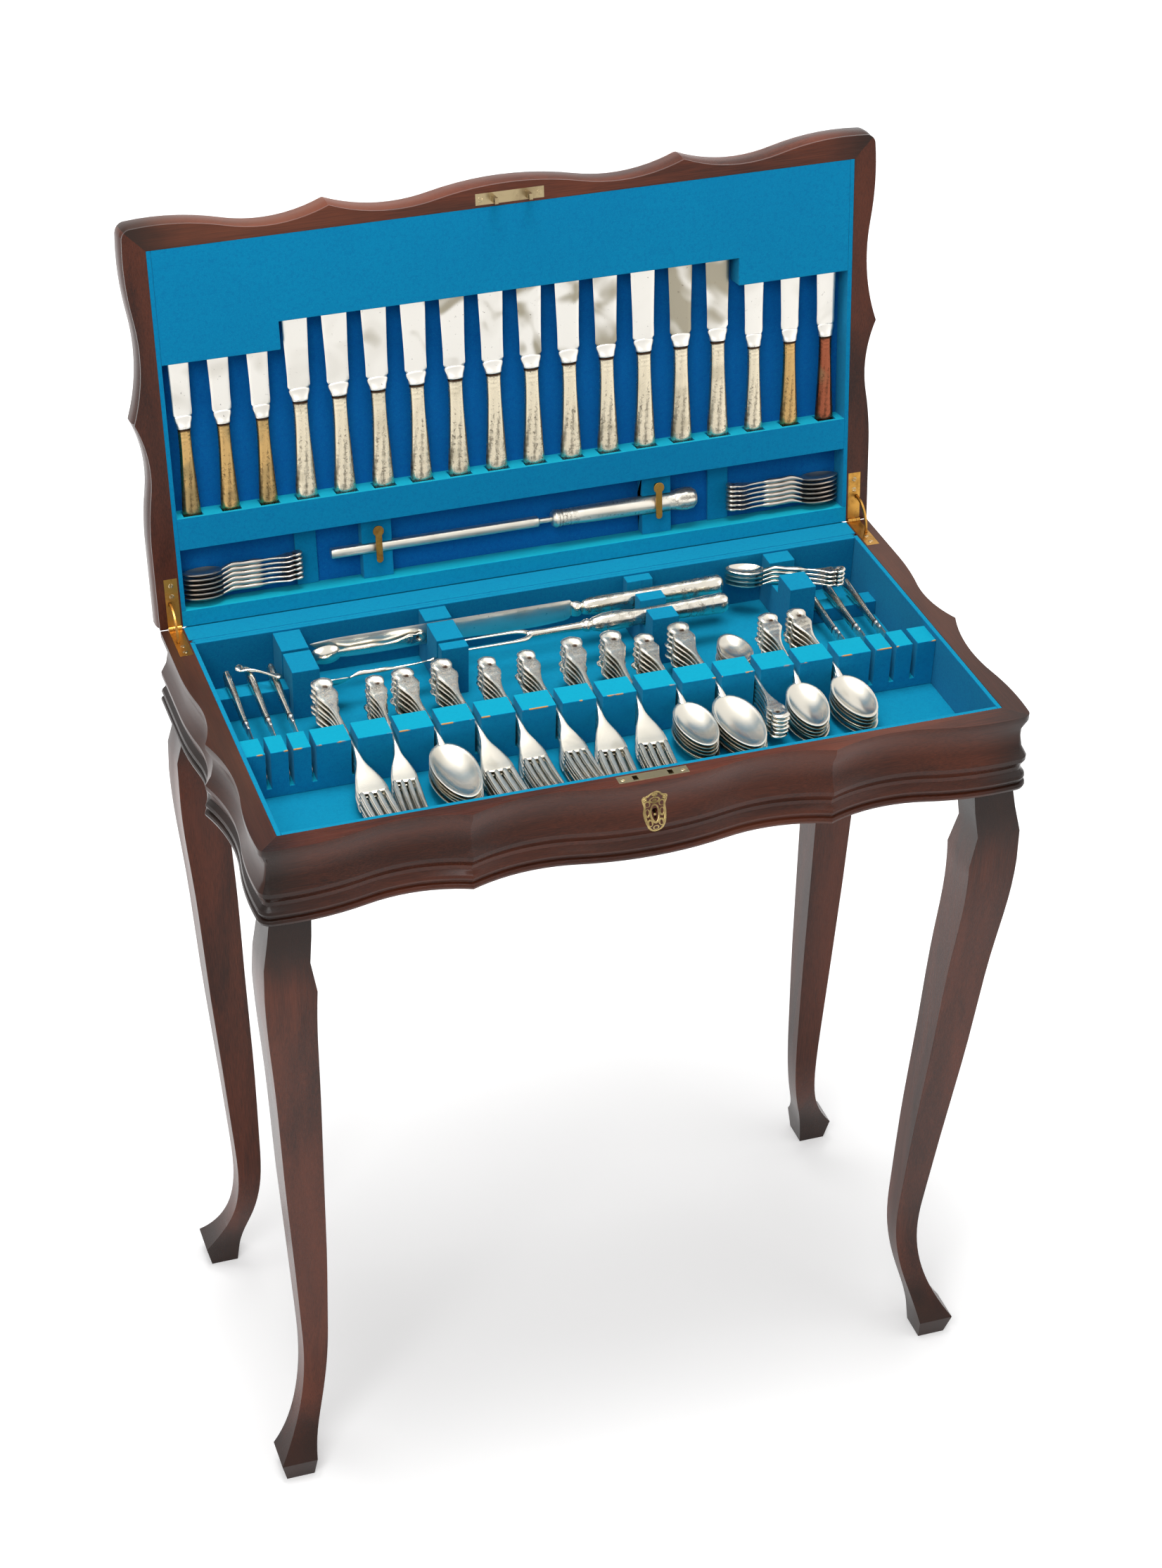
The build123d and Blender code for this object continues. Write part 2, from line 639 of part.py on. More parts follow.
case_ring = moulded(frieze, -CASE_DEPTH, -RIM_GAP)
case_ring -= box(-HALF_WIDTH, HALF_WIDTH, FRONT, CASE_BACK + 1, -CASE_DEPTH - 1, 1)
for side, rail in mitred(case_ring).items():
    nodes["rail_" + side] = rail
beads = mitred(along_outline(bead))
nodes["base_beads"] = Compound(children=[beads[side].solid() for side in ("front", "left", "right")])

for name, sign in (("left", -1), ("right", 1)):
    nodes["rail_" + name] -= leaf_bed(sign, True)
    nodes["hinge_base_" + name] = hinge_leaf(sign, True)
nodes["rail_front"] -= lock_plate_room() + lock_mortise()
nodes["rail_front"] -= keyhole(FRONT - BOW - 9, LOCK_Y, 2.2)
nodes["escutcheon"] = escutcheon(nodes["rail_front"])
nodes["lock_case"] = lock_case()
nodes["lock_bolt"] = lock_bolt()

nodes["rail_back"] = box(-HALF_WIDTH, HALF_WIDTH, BACK, CASE_BACK, -CASE_DEPTH, -RIM_GAP - BAIZE)
strip = (-HALF_WIDTH, HALF_WIDTH, BACK + BAIZE_GROOVE, CASE_BACK)
nodes["back_rail_baize"] = box(*strip, -RIM_GAP - BAIZE, -RIM_GAP)
bottom_top = -INNER_FLOOR - FLOOR_T
bottom_low = bottom_top - BOTTOM_T
nodes["bottom_board"] = box(-HALF_WIDTH, HALF_WIDTH, FRONT, BACK, bottom_low, bottom_top)

blocks = []
for sx in (-1, 1):
    for sy in (-1, 1):
        corner = [(0, 0), (BLOCK, 0), (BLOCK, BLOCK / 3), (BLOCK / 3, BLOCK), (0, BLOCK)]
        corner = [(sx * (HALF_WIDTH - x), sy * (BACK - y)) for x, y in corner]
        blocks.append(prism_z(corner, -CASE_DEPTH, bottom_low).solid())
nodes["corner_blocks"] = Compound(children=blocks)

front_leg = leg()
for side, sign in (("left", -1), ("right", 1)):
    front = front_leg if sign == 1 else front_leg.mirror(Plane.YZ)
    nodes["leg_front_" + side] = front
    nodes["leg_back_" + side] = Pos(0, REAR_LEG_SHIFT, 0) * front.mirror(Plane.XZ)

nodes["lining_floor"] = box(-LINED_X, LINED_X, FRONT + LINING, BACK - LINING, bottom_top, -INNER_FLOOR)
nodes["lining_left"] = box(-HALF_WIDTH, -LINED_X, FRONT, BACK, bottom_top, -RIM_GAP)
nodes["lining_right"] = box(LINED_X, HALF_WIDTH, FRONT, BACK, bottom_top, -RIM_GAP)
nodes["lining_front"] = box(-LINED_X, LINED_X, FRONT, FRONT + LINING, bottom_top, -RIM_GAP)
nodes["lining_back"] = box(-LINED_X, LINED_X, BACK - LINING, BACK, bottom_top, -RIM_GAP)

rack = box(-LINED_X, LINED_X, RACK_FRONT, RACK_BACK, -INNER_FLOOR, RACK_TOP)
slots = [(stack_place[0] * SLOT_PITCH, SLOT_WIDTH / 2) for stack_place in STACKS]
slots += [(sign * x, FINE_SLOT_WIDTH / 2) for x in FINE_SLOTS for sign in (-1, 1)]
for x, half in slots:
    rack -= box(x - half, x + half, RACK_FRONT - 1, RACK_BACK + 1, SLOT_FLOOR, 1)
nodes["fork_rack"] = rack

RESTS = {
    "rest_1": (-233, [(82, 115.5), (119.5, 152.2)], [-40]),
    "rest_2": (-97, [(79, 91), (95, 127), (131, 152.2)], [-28, -24.3]),
    "rest_3": (99, [(72, 91), (106, 120), (141, 152.2)], [-21, -22.7]),
    "rest_4": (236, [(83, 112), (134, 152.2)], [-20]),
}


def rest(x, posts, floors):
    """Block across the case whose posts hold the carving pieces apart."""
    y0 = posts[0][0]
    points = [(posts[-1][1], -INNER_FLOOR), (y0, -INNER_FLOOR)]
    for k, (a, b) in enumerate(posts):
        if k:
            points += [(posts[k - 1][1], floors[k - 1]), (a, floors[k - 1])]
        points += [(a, REST_TOP), (b, REST_TOP)]
    return prism_x(points, x - REST_WIDTH / 2, x + REST_WIDTH / 2)


for name, values in RESTS.items():
    nodes[name] = rest(*values)

KINDS = {
    "table_fork": fork(88, 118, 26),
    "dessert_fork": fork(80, 104, 22),
    "table_spoon": spoon(84, 74, 40, 6.5),
    "dessert_spoon": spoon(76, 62, 35, 6),
    "small_spoon": spoon(74, 46, 30, 6),
}
groups = {"forks": [], "spoons": [], "small_spoons": []}
for slot, kind, turn in STACKS:
    home = "forks" if kind.endswith("fork") else "small_spoons" if kind == "small_spoon" else "spoons"
    groups[home] += stack(KINDS[kind], slot, turn)

CARVER_Y = 129.0
CARVER_Z = -13.0
carving_blade = [(-217, -5), (-190, -3), (31, -3), (31, -20), (24, -24), (-185, -24), (-208, -14)]
carving_handle = Pos(30, CARVER_Y + 1, CARVER_Z) * Rot(0, 0, -90)
carving_handle *= grip([(0, 6, 7), (14, 7, 8), (110, 8.2, 10), (140, 9, 11), (146, 7, 9)])
nodes["carving_knife"] = prism_y(carving_blade, CARVER_Y - 1.25, CARVER_Y + 1.25) + carving_handle

FORK_Y = 98.5
tines = Pos(0, FORK_Y, CARVER_Z)
carving_fork = tines * (Pos(-20, 0, 0) * Rot(0, 0, -90) * grip([(0, 3, 3), (56, 4, 4), (58, 5.5, 5.5),
                        (160, 6.5, 8.5), (184, 7, 9.5), (190, 5, 7)]))
for y in (-8, 8):
    prong = [(-82, -1.2), (-40, -1.6), (-26, -1.6), (-17, -3), (-17, 3), (-26, 1.8), (-40, 1.6), (-82, 0)]
    carving_fork += tines * prism_y(prong, y - 1.6, y + 1.6)
carving_fork += tines * box(-21, -16, -9.6, 9.6, -3, 3)
nodes["carving_fork"] = carving_fork

small_knife = knife(SMALL_GRIP, SMALL_GRIP_HALF, 7, SMALL_BLADE, SMALL_BLADE_WIDTH)
heel = 9.0
small_knives = []
ledges = []
for sign, lean, rest_x in ((-1, LEFT_LEAN, RESTS["rest_1"][0]), (1, RIGHT_LEAN, RESTS["rest_4"][0])):
    rise = math.radians(lean)
    tip_z = SLOT_FLOOR + SMALL_BLADE_WIDTH / 2 + SEAT_GAP - heel * math.sin(rise)
    butt_y = SMALL_KNIFE_TIP + (SMALL_GRIP + SMALL_BLADE) * math.cos(rise)
    butt_z = tip_z + (SMALL_GRIP + SMALL_BLADE) * math.sin(rise)
    for x in FINE_SLOTS:
        place = Pos(sign * x, butt_y, butt_z) * Rot(lean, 0, 0) * Rot(0, 0, 180) * Rot(0, 90, 0)
        small_knives.append((place * small_knife).solid())
    seat = tip_z + (LEDGE_BACK - SMALL_KNIFE_TIP) * math.tan(rise) - SMALL_GRIP_HALF / math.cos(rise)
    ends = (sign * LINED_X, rest_x + sign * REST_WIDTH / 2)
    ledges.append(box(*ends, LEDGE_FRONT, LEDGE_BACK, -INNER_FLOOR, seat - SEAT_GAP).solid())
nodes["small_knives"] = Compound(children=small_knives)
nodes["knife_ledges"] = Compound(children=ledges)

# Condiment spoons between the first two rests, and a salt spoon laid on the small knives
bay_left = RESTS["rest_1"][0] + REST_WIDTH / 2
bay_right = RESTS["rest_2"][0] - REST_WIDTH / 2
SALT_BOWL = (30.0, 19.0, 5.0)
salt_grip = bay_right - bay_left - 2 * SEAT_GAP - BOWL_START - SALT_BOWL[0]
condiment = spoon(salt_grip, *SALT_BOWL)
neck_x = bay_left + SEAT_GAP + SALT_BOWL[0] + BOWL_START
condiments = []
for y, z, roll in ((122, -14.5, -90), (90.5, -22, -35)):
    condiments.append((Pos(neck_x, y, z) * Rot(roll, 0, 0) * Rot(0, 0, -90) * condiment).solid())
salt = grip([(0, 3, 1.2), (3, 5, 2), (9, 5, 2.2), (14, 2.6, 1.5), (36, 3, 1.4), (43, 3.6, 1.5), (45, 2, 1)])
condiments.append((Pos(-288, 121, -10.3) * Rot(0, 4, -125) * salt).solid())
nodes["condiment_spoons"] = Compound(children=condiments)

TEASPOON = spoon(54, 37, 20, 5)
for k in range(4):
    z = -20 + 1.2 + k * (NECK + STACK_GAP)
    groups["small_spoons"].append(Pos(236, 123, z - 0.6) * Rot(0, 0, -112) * TEASPOON)
for name, solids in groups.items():
    nodes[name] = Compound(children=[s.solid() for s in solids])

# Lid, modelled closed and then swung open

lid_shell = moulded(lid_edge, RIM_GAP, LID_DEPTH)
far = 500
lid = {"lid_panel": lid_shell & box(-far, far, -far, far, LID_RAIL, LID_DEPTH + 1)}
lid_ring = lid_shell & box(-far, far, -far, far, 0, LID_RAIL)
lid_ring -= box(-HALF_WIDTH, HALF_WIDTH, FRONT, CASE_BACK + 1, -1, LID_RAIL + 1)
for side, rail in mitred(lid_ring).items():
    lid["lid_rail_" + side] = rail
for name, sign in (("left", -1), ("right", 1)):
    lid["lid_rail_" + name] -= leaf_bed(sign, False)
    lid["hinge_lid_" + name] = hinge_leaf(sign, False)
link_bed = Box(LOCK_LENGTH, LOCK_WIDTH, 2 * (RIM_GAP + LOCK_PLATE))
lid["lid_rail_front"] -= Pos(0, LOCK_Y, 0) * link_bed
lid["lock_link_plate"] = link_plate()
rim = RIM_GAP
lid["lid_rail_back"] = lid_box(-HALF_WIDTH, HALF_WIDTH, 0, LID_BACK_RAIL, rim + BAIZE, LID_RAIL)
skin = lid_box(-HALF_WIDTH, HALF_WIDTH, 0, LID_LEDGE, rim, rim + BAIZE)
lid["lid_back_baize"] = skin + lid_box(-LINED_X, LINED_X, LID_BACK_RAIL, LID_LEDGE, rim, RECESS)
lid["lid_lining"] = lid_box(-HALF_WIDTH, HALF_WIDTH, LID_BACK_RAIL, LID_INNER, RECESS, LID_RAIL)
for name, sign in (("left", -1), ("right", 1)):
    skin = lid_box(sign * LINED_X, sign * HALF_WIDTH, LID_BACK_RAIL, LID_INNER, rim, RECESS)
    skin -= lid_box(-HALF_WIDTH, HALF_WIDTH, 0, LID_LEDGE, rim, rim + BAIZE)
    lid["lid_lining_" + name] = skin

KNIVES = [(KNIFE_FIRST + k * KNIFE_PITCH, True) for k in range(KNIFE_COUNT)]
KNIVES += [(sign * x, False) for x in SIDE_KNIVES for sign in (-1, 1)]
knife_rail = lid_box(-LINED_X, LINED_X, KNIFE_RAIL_LOW, KNIFE_RAIL_HIGH, rim, RECESS)
tip_board = lid_box(-LINED_X, LINED_X, TIP_BOARD_SIDE, LID_INNER, rim, RECESS)
tip_board -= lid_box(-TIP_STEP, TIP_STEP, 0, TIP_BOARD_MID, 0, RECESS + 1)
for x, is_large in KNIVES:
    pocket = POCKET_HALF if is_large else POCKET_HALF - 1.5
    knife_rail -= lid_box(x - pocket, x + pocket, POCKET_FLOOR, LID_INNER, POCKET_LIP, RECESS - 3)
    tip = POCKET_FLOOR + (TABLE_KNIFE if is_large else DESSERT_KNIFE) + TIP_CLEAR
    low, high = KNIFE_DEPTH - BLADE_SLOT_T / 2, KNIFE_DEPTH + BLADE_SLOT_T / 2
    tip_board -= lid_box(x - BLADE_SLOT_HALF, x + BLADE_SLOT_HALF, 200, tip, low, high)
lid["knife_rail"] = knife_rail
lid["tip_board"] = tip_board

table_knife = knife(TABLE_GRIP, 9.6, 12.5, TABLE_KNIFE - TABLE_GRIP, 20)
dessert_knife = knife(DESSERT_GRIP, 8.2, 11.5, DESSERT_KNIFE - DESSERT_GRIP, 17)
sets = {"table_knives": [], "dessert_knives": []}
for x, is_large in KNIVES:
    name, pattern = ("table_knives", table_knife) if is_large else ("dessert_knives", dessert_knife)
    sets[name].append((in_lid(x, POCKET_FLOOR + SEAT_GAP, KNIFE_DEPTH) * pattern).solid())
for name, solids in sets.items():
    lid[name] = Compound(children=solids)

strips = []
clip_blocks = []
for sign in (-1, 1):
    x = sign * DIVIDER_AT
    strips.append(lid_box(x - 10, x + 10, LID_LEDGE, KNIFE_RAIL_LOW, RECESS - 3, RECESS).solid())
    x = sign * CLIP_BLOCK_AT
    w = CLIP_BLOCK_WIDTH / 2
    block = lid_box(x - w, x + w, LID_LEDGE, KNIFE_RAIL_LOW, CLIP_BLOCK_FACE, RECESS)
    r = STEEL_FIT + (STEEL_ROD if sign < 0 else STEEL_BUTT)
    block -= lid_box(x - w - 1, x + w + 1, STEEL_H - r, STEEL_H + r, 0, STEEL_DEPTH + r + 0.1)
    block -= Pos(x, CASE_BACK - CLIP_H, CLIP_BLOCK_FACE) * Cylinder(PIN + PIN_FIT, 8)
    clip_blocks.append(block.solid())
lid["lid_dividers"] = Compound(children=strips)
lid["clip_blocks"] = Compound(children=clip_blocks)

steel = Pos(STEEL_TIP, CASE_BACK - STEEL_H, STEEL_DEPTH) * Rot(0, 90, 0)
rod = steel * Pos(0, 0, STEEL_BLADE / 2) * Cylinder(STEEL_ROD, STEEL_BLADE)
half_view = [(0, 0), (8, 0), (9, 6), (6.8, 12), (7.4, 34), (8, 96)]
half_view += [(STEEL_BUTT, 124), (STEEL_BUTT, 132), (0, 136)]
half_view = [(r, STEEL_BLADE + along) for r, along in half_view]
steel_handle = revolve(Plane.XZ * make_face(Polyline(*half_view, close=True)), axis=Axis.Z)
lid["sharpening_steel"] = rod + steel * steel_handle


def turn_clip(sign, clip_depth):
    """Brass button that turns over the steel, with its pivot pin."""
    x = sign * CLIP_BLOCK_AT
    y = CASE_BACK - CLIP_H
    arm = Pos(x, y, clip_depth) * Cylinder(5, CLIP_T)
    arm += box(x - 3, x + 3, y, y + CLIP_LENGTH - 3, clip_depth - CLIP_T / 2, clip_depth + CLIP_T / 2)
    arm += Pos(x, y + CLIP_LENGTH - 3, clip_depth) * Cylinder(3, CLIP_T)
    low = clip_depth
    high = CLIP_BLOCK_FACE + 3.5
    pin = Pos(x, y, (low + high) / 2) * Cylinder(PIN, high - low)
    boss = Pos(x, y, (low + CLIP_BLOCK_FACE - 0.2) / 2) * Cylinder(2.4, CLIP_BLOCK_FACE - 0.2 - low)
    return arm + pin + boss


steel_top = STEEL_DEPTH - STEEL_BUTT
clips = {"turn_clip_left": turn_clip(-1, steel_top - CLIP_CLEAR - CLIP_T / 2)}
clips["turn_clip_right"] = turn_clip(1, steel_top - CLIP_CLEAR - CLIP_T / 2)

lid_spoons = []
for sign in (-1, 1):
    for k in range(STACK_SIZE):
        h = LID_LEDGE + 0.3 + 7.3 + k * (NECK + STACK_GAP)
        place = Pos(sign * (LINED_X - 58.6), CASE_BACK - h, 11.4) * Rot(90, 0, 0) * Rot(0, 0, 90 * sign)
        lid_spoons.append(place * TEASPOON)
lid["lid_teaspoons"] = Compound(children=[s.solid() for s in lid_spoons])

swing = Pos(0, CASE_BACK, 0) * Rot(-OPEN_ANGLE, 0, 0) * Pos(0, -CASE_BACK, 0)
for name, piece in [*lid.items(), *clips.items()]:
    nodes[name] = swing * piece
nodes["stay_left"] = stay(-1)
nodes["stay_right"] = stay(1)

# Put the whole object on the floor, with the origin under its middle

middle = (nodes["base_beads"].bounding_box().min.Y + nodes["lid_panel"].bounding_box().max.Y) / 2
print("parting plane at z", RIM_HEIGHT, "and hinge axis at y", round(CASE_BACK - middle, 4))
print("shift in y", round(-middle, 4))
os.makedirs("parts", exist_ok=True)
for name, piece in nodes.items():
    export_step(Pos(0, -middle, RIM_HEIGHT) * piece, "parts/" + name + ".step")
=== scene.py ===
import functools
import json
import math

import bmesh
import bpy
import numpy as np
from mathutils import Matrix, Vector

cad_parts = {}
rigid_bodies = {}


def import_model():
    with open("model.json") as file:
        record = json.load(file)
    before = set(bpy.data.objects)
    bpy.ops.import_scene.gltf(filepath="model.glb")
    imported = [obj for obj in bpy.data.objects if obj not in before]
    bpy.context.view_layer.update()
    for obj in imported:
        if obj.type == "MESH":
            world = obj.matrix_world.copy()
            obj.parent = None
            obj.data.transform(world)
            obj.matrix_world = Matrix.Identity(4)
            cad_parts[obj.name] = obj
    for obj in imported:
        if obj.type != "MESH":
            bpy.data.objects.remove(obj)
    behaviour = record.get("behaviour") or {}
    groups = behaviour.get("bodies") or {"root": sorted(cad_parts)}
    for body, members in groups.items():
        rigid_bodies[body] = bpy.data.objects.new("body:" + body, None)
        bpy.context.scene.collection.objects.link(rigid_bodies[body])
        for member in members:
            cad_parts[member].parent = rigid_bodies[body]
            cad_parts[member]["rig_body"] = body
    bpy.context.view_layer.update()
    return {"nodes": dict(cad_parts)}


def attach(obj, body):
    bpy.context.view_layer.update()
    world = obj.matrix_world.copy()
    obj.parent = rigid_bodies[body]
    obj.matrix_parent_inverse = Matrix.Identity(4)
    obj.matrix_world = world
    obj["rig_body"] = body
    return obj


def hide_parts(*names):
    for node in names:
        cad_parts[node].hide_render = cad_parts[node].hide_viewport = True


bl_info = {
    "name": "Table canteen of cutlery",
    "version": (1, 0, 0),
    "blender": (4, 5, 0),
    "location": "3D View > Sidebar > Canteen",
    "description": "Dresses a mahogany table canteen and its cutlery around the modelled frame",
    "category": "Object",
}

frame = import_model()

MM = 0.001
PHOTO_WIDTH = 1652
PHOTO_HEIGHT = 2230
CASE_SHIFT = np.array([0.0, -43.2926, 745.0])  # from the middle of the case's rim to the object's origin
CASE_BACK = 182.5
OPEN_ANGLE = 98.4
SLOT_PITCH = 36.7
STACK_SIZE = 6
STACK_STEP = 4.5
STACK_SPREAD = 1.6
STACK_NECK = (-18.0, -40.0)
STACK_LEAN = (2.6, 0.8)
TURNED_LEAN = (-1.0, -0.4)
TINES = 4
BOWL_START = 20.0
BOWL_RIM = 0.4
BOWL_WALL = 1.3
BLADE_MARK = 2.0
COLLAR_MARK = 1.8
BLADE_FROM = 1.5
RACK_EDGE = (-31.0, -5.0)
RIM_GAP = 0.4
HINGE_X = 327.5
LOCK_Y = -163.2
SCREWS = [(-HINGE_X, 142.0, -25), (-HINGE_X, 152.0, -25), (HINGE_X, 142.0, 25), (HINGE_X, 152.0, 25)]
SCREWS += [(-26.5, LOCK_Y, 40), (26.5, LOCK_Y, 40)]
SLOT_HALF = 0.42
PLATE_PIN = (0, -166.0, -34.5)
# Limits, in metres, of the painted shade and old polish: at the corners by x, at the knees and feet by height.
CORNER_SHADE = (0.285, 0.338)
KNEE_SHADE = (0.590, 0.655)
FOOT_SHADE = (0.085, 0.020)
LINED_HALF = 318.0
# Painted shade: baize strips set in the gaps at the back, so the gaps read dark instead of showing the floor.
SHADE_STRIPS = [("groove_shade_strip", 158.2, -0.95, 1.85, 0.7), ("hinge_shade_strip", 184.25, -1.8, 1.6, 1.8)]
FAR_EDGE = 9.0
SHARP_ANGLE = math.radians(50)
BEVEL_ANGLE = math.radians(35)
FLAT_ANGLE = math.radians(0.4)

UNDERSIDE = ["bottom_board", "corner_blocks"]
LEGS = ["leg_front_left", "leg_front_right", "leg_back_left", "leg_back_right"]
CASE_BAIZE = ["lining_floor", "lining_front", "lining_back", "lining_left", "lining_right"]
CASE_BAIZE += ["back_rail_baize", "knife_ledges", "rest_1", "rest_2", "rest_3", "rest_4"]
LID_BAIZE = ["lid_lining_left", "lid_lining_right"]
LID_BAIZE += ["tip_board", "knife_rail", "lid_dividers", "clip_blocks"]
BRASSWORK = ["hinge_base_left", "hinge_base_right", "hinge_lid_left", "hinge_lid_right"]
BRASSWORK += ["stay_left", "stay_right", "turn_clip_left", "turn_clip_right"]
LOCKWORK = ["lock_case", "lock_link_plate", "lock_bolt"]


def linear(red, green, blue):
    """Colour as a screen shows it, 0 to 255, turned into the light values a shader takes."""
    shown = np.array([red, green, blue], float) / 255
    light = np.where(shown <= 0.04045, shown / 12.92, ((shown + 0.055) / 1.055) ** 2.4)
    return tuple(float(v) for v in light)


# Painted highlight: the warm orange-brown light bands of the lid's panel and its outer moulding.
WARM_HIGHLIGHT_WOOD = linear(142, 78, 46)
PORE = (0.012, 0.005, 0.003, 1)
WORN_POLISH = (0.20, 0.085, 0.045, 1)
# Painted shade and darkened old polish: the near-black that the corners, knees and feet are turned to.
DARK_POLISH_AND_SHADE = (0.011, 0.0065, 0.0045, 1)
DEEPER = (0.62, 0.72, 0.84, 1)
PALER = (0.05, 0.62, 0.74, 1)
# Painted light: the paler blue that baize turns where it faces up.
TOP_LIGHT_BLUE = (0.0, 0.36, 0.42, 1)
BARE_WOOD = (0.58, 0.27, 0.06, 1)
SHEEN = (0.2, 0.8, 1.0, 1)
WHITE = (1, 1, 1, 1)
SOOT = linear(58, 40, 28)
BLADE = linear(230, 226, 218)
# Tarnish on handles and blades, and on blades also painted dark reflections.
TARNISH_AND_REFLECTION = linear(128, 116, 84)
BRASS_STAIN = linear(84, 52, 24)
LOCK_STAIN = linear(94, 72, 46)
KEYHOLE_BRASS = linear(158, 138, 92)
KEYHOLE_STAIN = linear(60, 40, 22)
KNIFE_SILVER = linear(222, 210, 184)
SPOON_SILVER = linear(200, 190, 178)
RED_HANDLE = linear(150, 84, 60)


def hue(name, description, *shown):
    """Colour that a user can change, its default as a screen shows it."""
    return bpy.props.FloatVectorProperty(
        name=name, description=description, subtype="COLOR", size=3, default=linear(*shown), min=0, max=1)


def small_length(name, description, default):
    """Length that a user can change, in metres."""
    return bpy.props.FloatProperty(name=name, description=description, unit="LENGTH", default=default, min=0)


class CanteenColours(bpy.types.PropertyGroup):
    """Colours of the canteen's finishes."""

    wood_dark: hue("Dark mahogany", "Colour of the dark bands in the mahogany", 38, 18, 11)
    wood_light: hue("Light mahogany", "Colour of the light bands in the mahogany", 98, 48, 30)
    baize: hue("Baize", "Colour of the blue baize on the rack and in the lid", 0, 126, 172)
    # Painted shade: the tray's baize is set darker than the lid's.
    baize_case: hue("Baize of the case", "Colour of the baize in the tray", 0, 112, 154)
    # Painted light: the lid's ledge is given a paler baize than the rest.
    baize_lit_ledge: hue("Faded baize", "Colour of the faded baize on the lid's ledge", 0, 140, 180)
    # Painted shade: the bottom of the lid's recess is given a darker baize.
    baize_recess_shade: hue("Deep baize", "Colour of the shaded baize at the bottom of the lid's recess", 0, 98, 170)
    brass: hue("Brass", "Colour of the hinges, stays and clips", 196, 146, 70)
    silver: hue("Silver", "Colour of the polished cutlery", 230, 224, 210)
    lock_brass: hue("Lock brass", "Colour of the lock's plates and of the screws", 176, 158, 122)
    gilt: hue("Dessert handles", "Colour of the dessert knives' worn handles", 196, 160, 104)
    floor: hue("Floor", "Colour of the pale floor", 250, 250, 250)


class CanteenSizes(bpy.types.PropertyGroup):
    """Small sizes that the frame leaves open."""

    edge_round: small_length("Rounded edge", "Width of the rounding on wood and baize edges", 0.6 * MM)
    leg_round: small_length("Rounded leg", "Width of the rounding on the legs' four edges", 2.2 * MM)
    metal_round: small_length("Metal edge", "Width of the rounding on brass edges", 0.2 * MM)
    smooth_angle: bpy.props.FloatProperty(
        name="Smooth angle", description="Faces that meet at less than this angle are shaded as one curve",
        subtype="ANGLE", default=math.radians(28), min=0, max=math.pi)


def colours():
    """Colours set in the sidebar."""
    return bpy.context.scene.canteen_colours


def sizes():
    """Sizes set in the sidebar."""
    return bpy.context.scene.canteen_sizes


# Nodes

def plug(tree, socket, value):
    """Links an input to another node's output, or gives it a value."""
    value = getattr(value, "socket", value)
    if isinstance(value, bpy.types.NodeSocket):
        tree.links.new(value, socket)
    else:
        socket.default_value = value


def add(tree, kind, links=(), **values):
    """Node with its properties set, then its inputs linked or given a value by name or number."""
    node = tree.nodes.new(kind)
    for key, value in values.items():
        setattr(node, key, value)
    for key, source in dict(links).items():
        plug(tree, node.inputs[key], source)
    return node


class Wire:
    """Output of a node, whose sums, differences, products and textures are nodes of the same tree."""

    def __init__(self, tree, socket):
        self.tree, self.socket = tree, socket

    def feed(self, kind, links, output=0, **values):
        """Output of a new node that is given these inputs."""
        return Wire(self.tree, add(self.tree, kind, links, **values).outputs[output])

    def math(self, operation, *values):
        """Math node on this output, then other outputs or numbers."""
        return self.feed("ShaderNodeMath", enumerate((self, *values)), operation=operation)

    def __add__(self, other):
        return self.math("ADD", other)

    def __sub__(self, other):
        return self.math("SUBTRACT", other)

    def __mul__(self, other):
        return self.math("MULTIPLY", other)

    def rest(self):
        """1 less this output."""
        return self.feed("ShaderNodeMath", {0: 1.0, 1: self}, operation="SUBTRACT")

    def distance(self, other):
        """Size of the difference from another value."""
        return (self - other).math("ABSOLUTE")

    def step(self, low, high):
        """Smooth step of the output between two limits."""
        links = {"Value": self, "From Min": low, "From Max": high}
        return self.feed("ShaderNodeMapRange", links, interpolation_type="SMOOTHSTEP")

    def noise(self, scale, detail=4.0, rough=0.55, distort=0.0):
        """Noise texture at this vector."""
        links = {"Vector": self, "Scale": scale, "Detail": detail, "Roughness": rough, "Distortion": distort}
        return self.feed("ShaderNodeTexNoise", links)

    def part(self, axis):
        """One of the vector's three parts, 0 for X, 1 for Y and 2 for Z."""
        return self.feed("ShaderNodeSeparateXYZ", {0: self}, axis)

    def stretch(self, x, y, z):
        """Vector scaled by a different amount along each axis."""
        return self.feed("ShaderNodeMapping", {"Vector": self, "Scale": (x, y, z)})


def blend(tree, factor, first, second, mode="MIX"):
    """Mix of two colours."""
    links = {0: factor, 6: first, 7: second}
    return Wire(tree, add(tree, "ShaderNodeMix", links, data_type="RGBA", blend_type=mode).outputs[2])


def shader_group(outputs=("Colour", "Roughness", "Height"), **inputs):
    """Makes a builder a call for its group, built once under the builder's name. The inputs come with
    their defaults: none for a vector, four numbers for a colour, one for a plain value."""
    def kind(value):
        return "NodeSocket" + ("Vector" if value is None else "Color" if isinstance(value, tuple) else "Float")

    def decorate(build):
        @functools.wraps(build)
        def group():
            if build.__name__ in bpy.data.node_groups:
                return bpy.data.node_groups[build.__name__]
            tree = bpy.data.node_groups.new(build.__name__, "ShaderNodeTree")
            for key, value in inputs.items():
                socket = tree.interface.new_socket(name=key, in_out="INPUT", socket_type=kind(value))
                if value is not None:
                    socket.default_value = value
            for key in outputs:
                sort = "NodeSocketColor" if key == "Colour" else "NodeSocketFloat"
                tree.interface.new_socket(name=key, in_out="OUTPUT", socket_type=sort)
            source, sink = tree.nodes.new("NodeGroupInput"), tree.nodes.new("NodeGroupOutput")
            made = build(tree, *[Wire(tree, source.outputs[key]) for key in inputs])
            for socket, value in zip(sink.inputs, made):
                plug(tree, socket, value)
            return tree
        return group
    return decorate


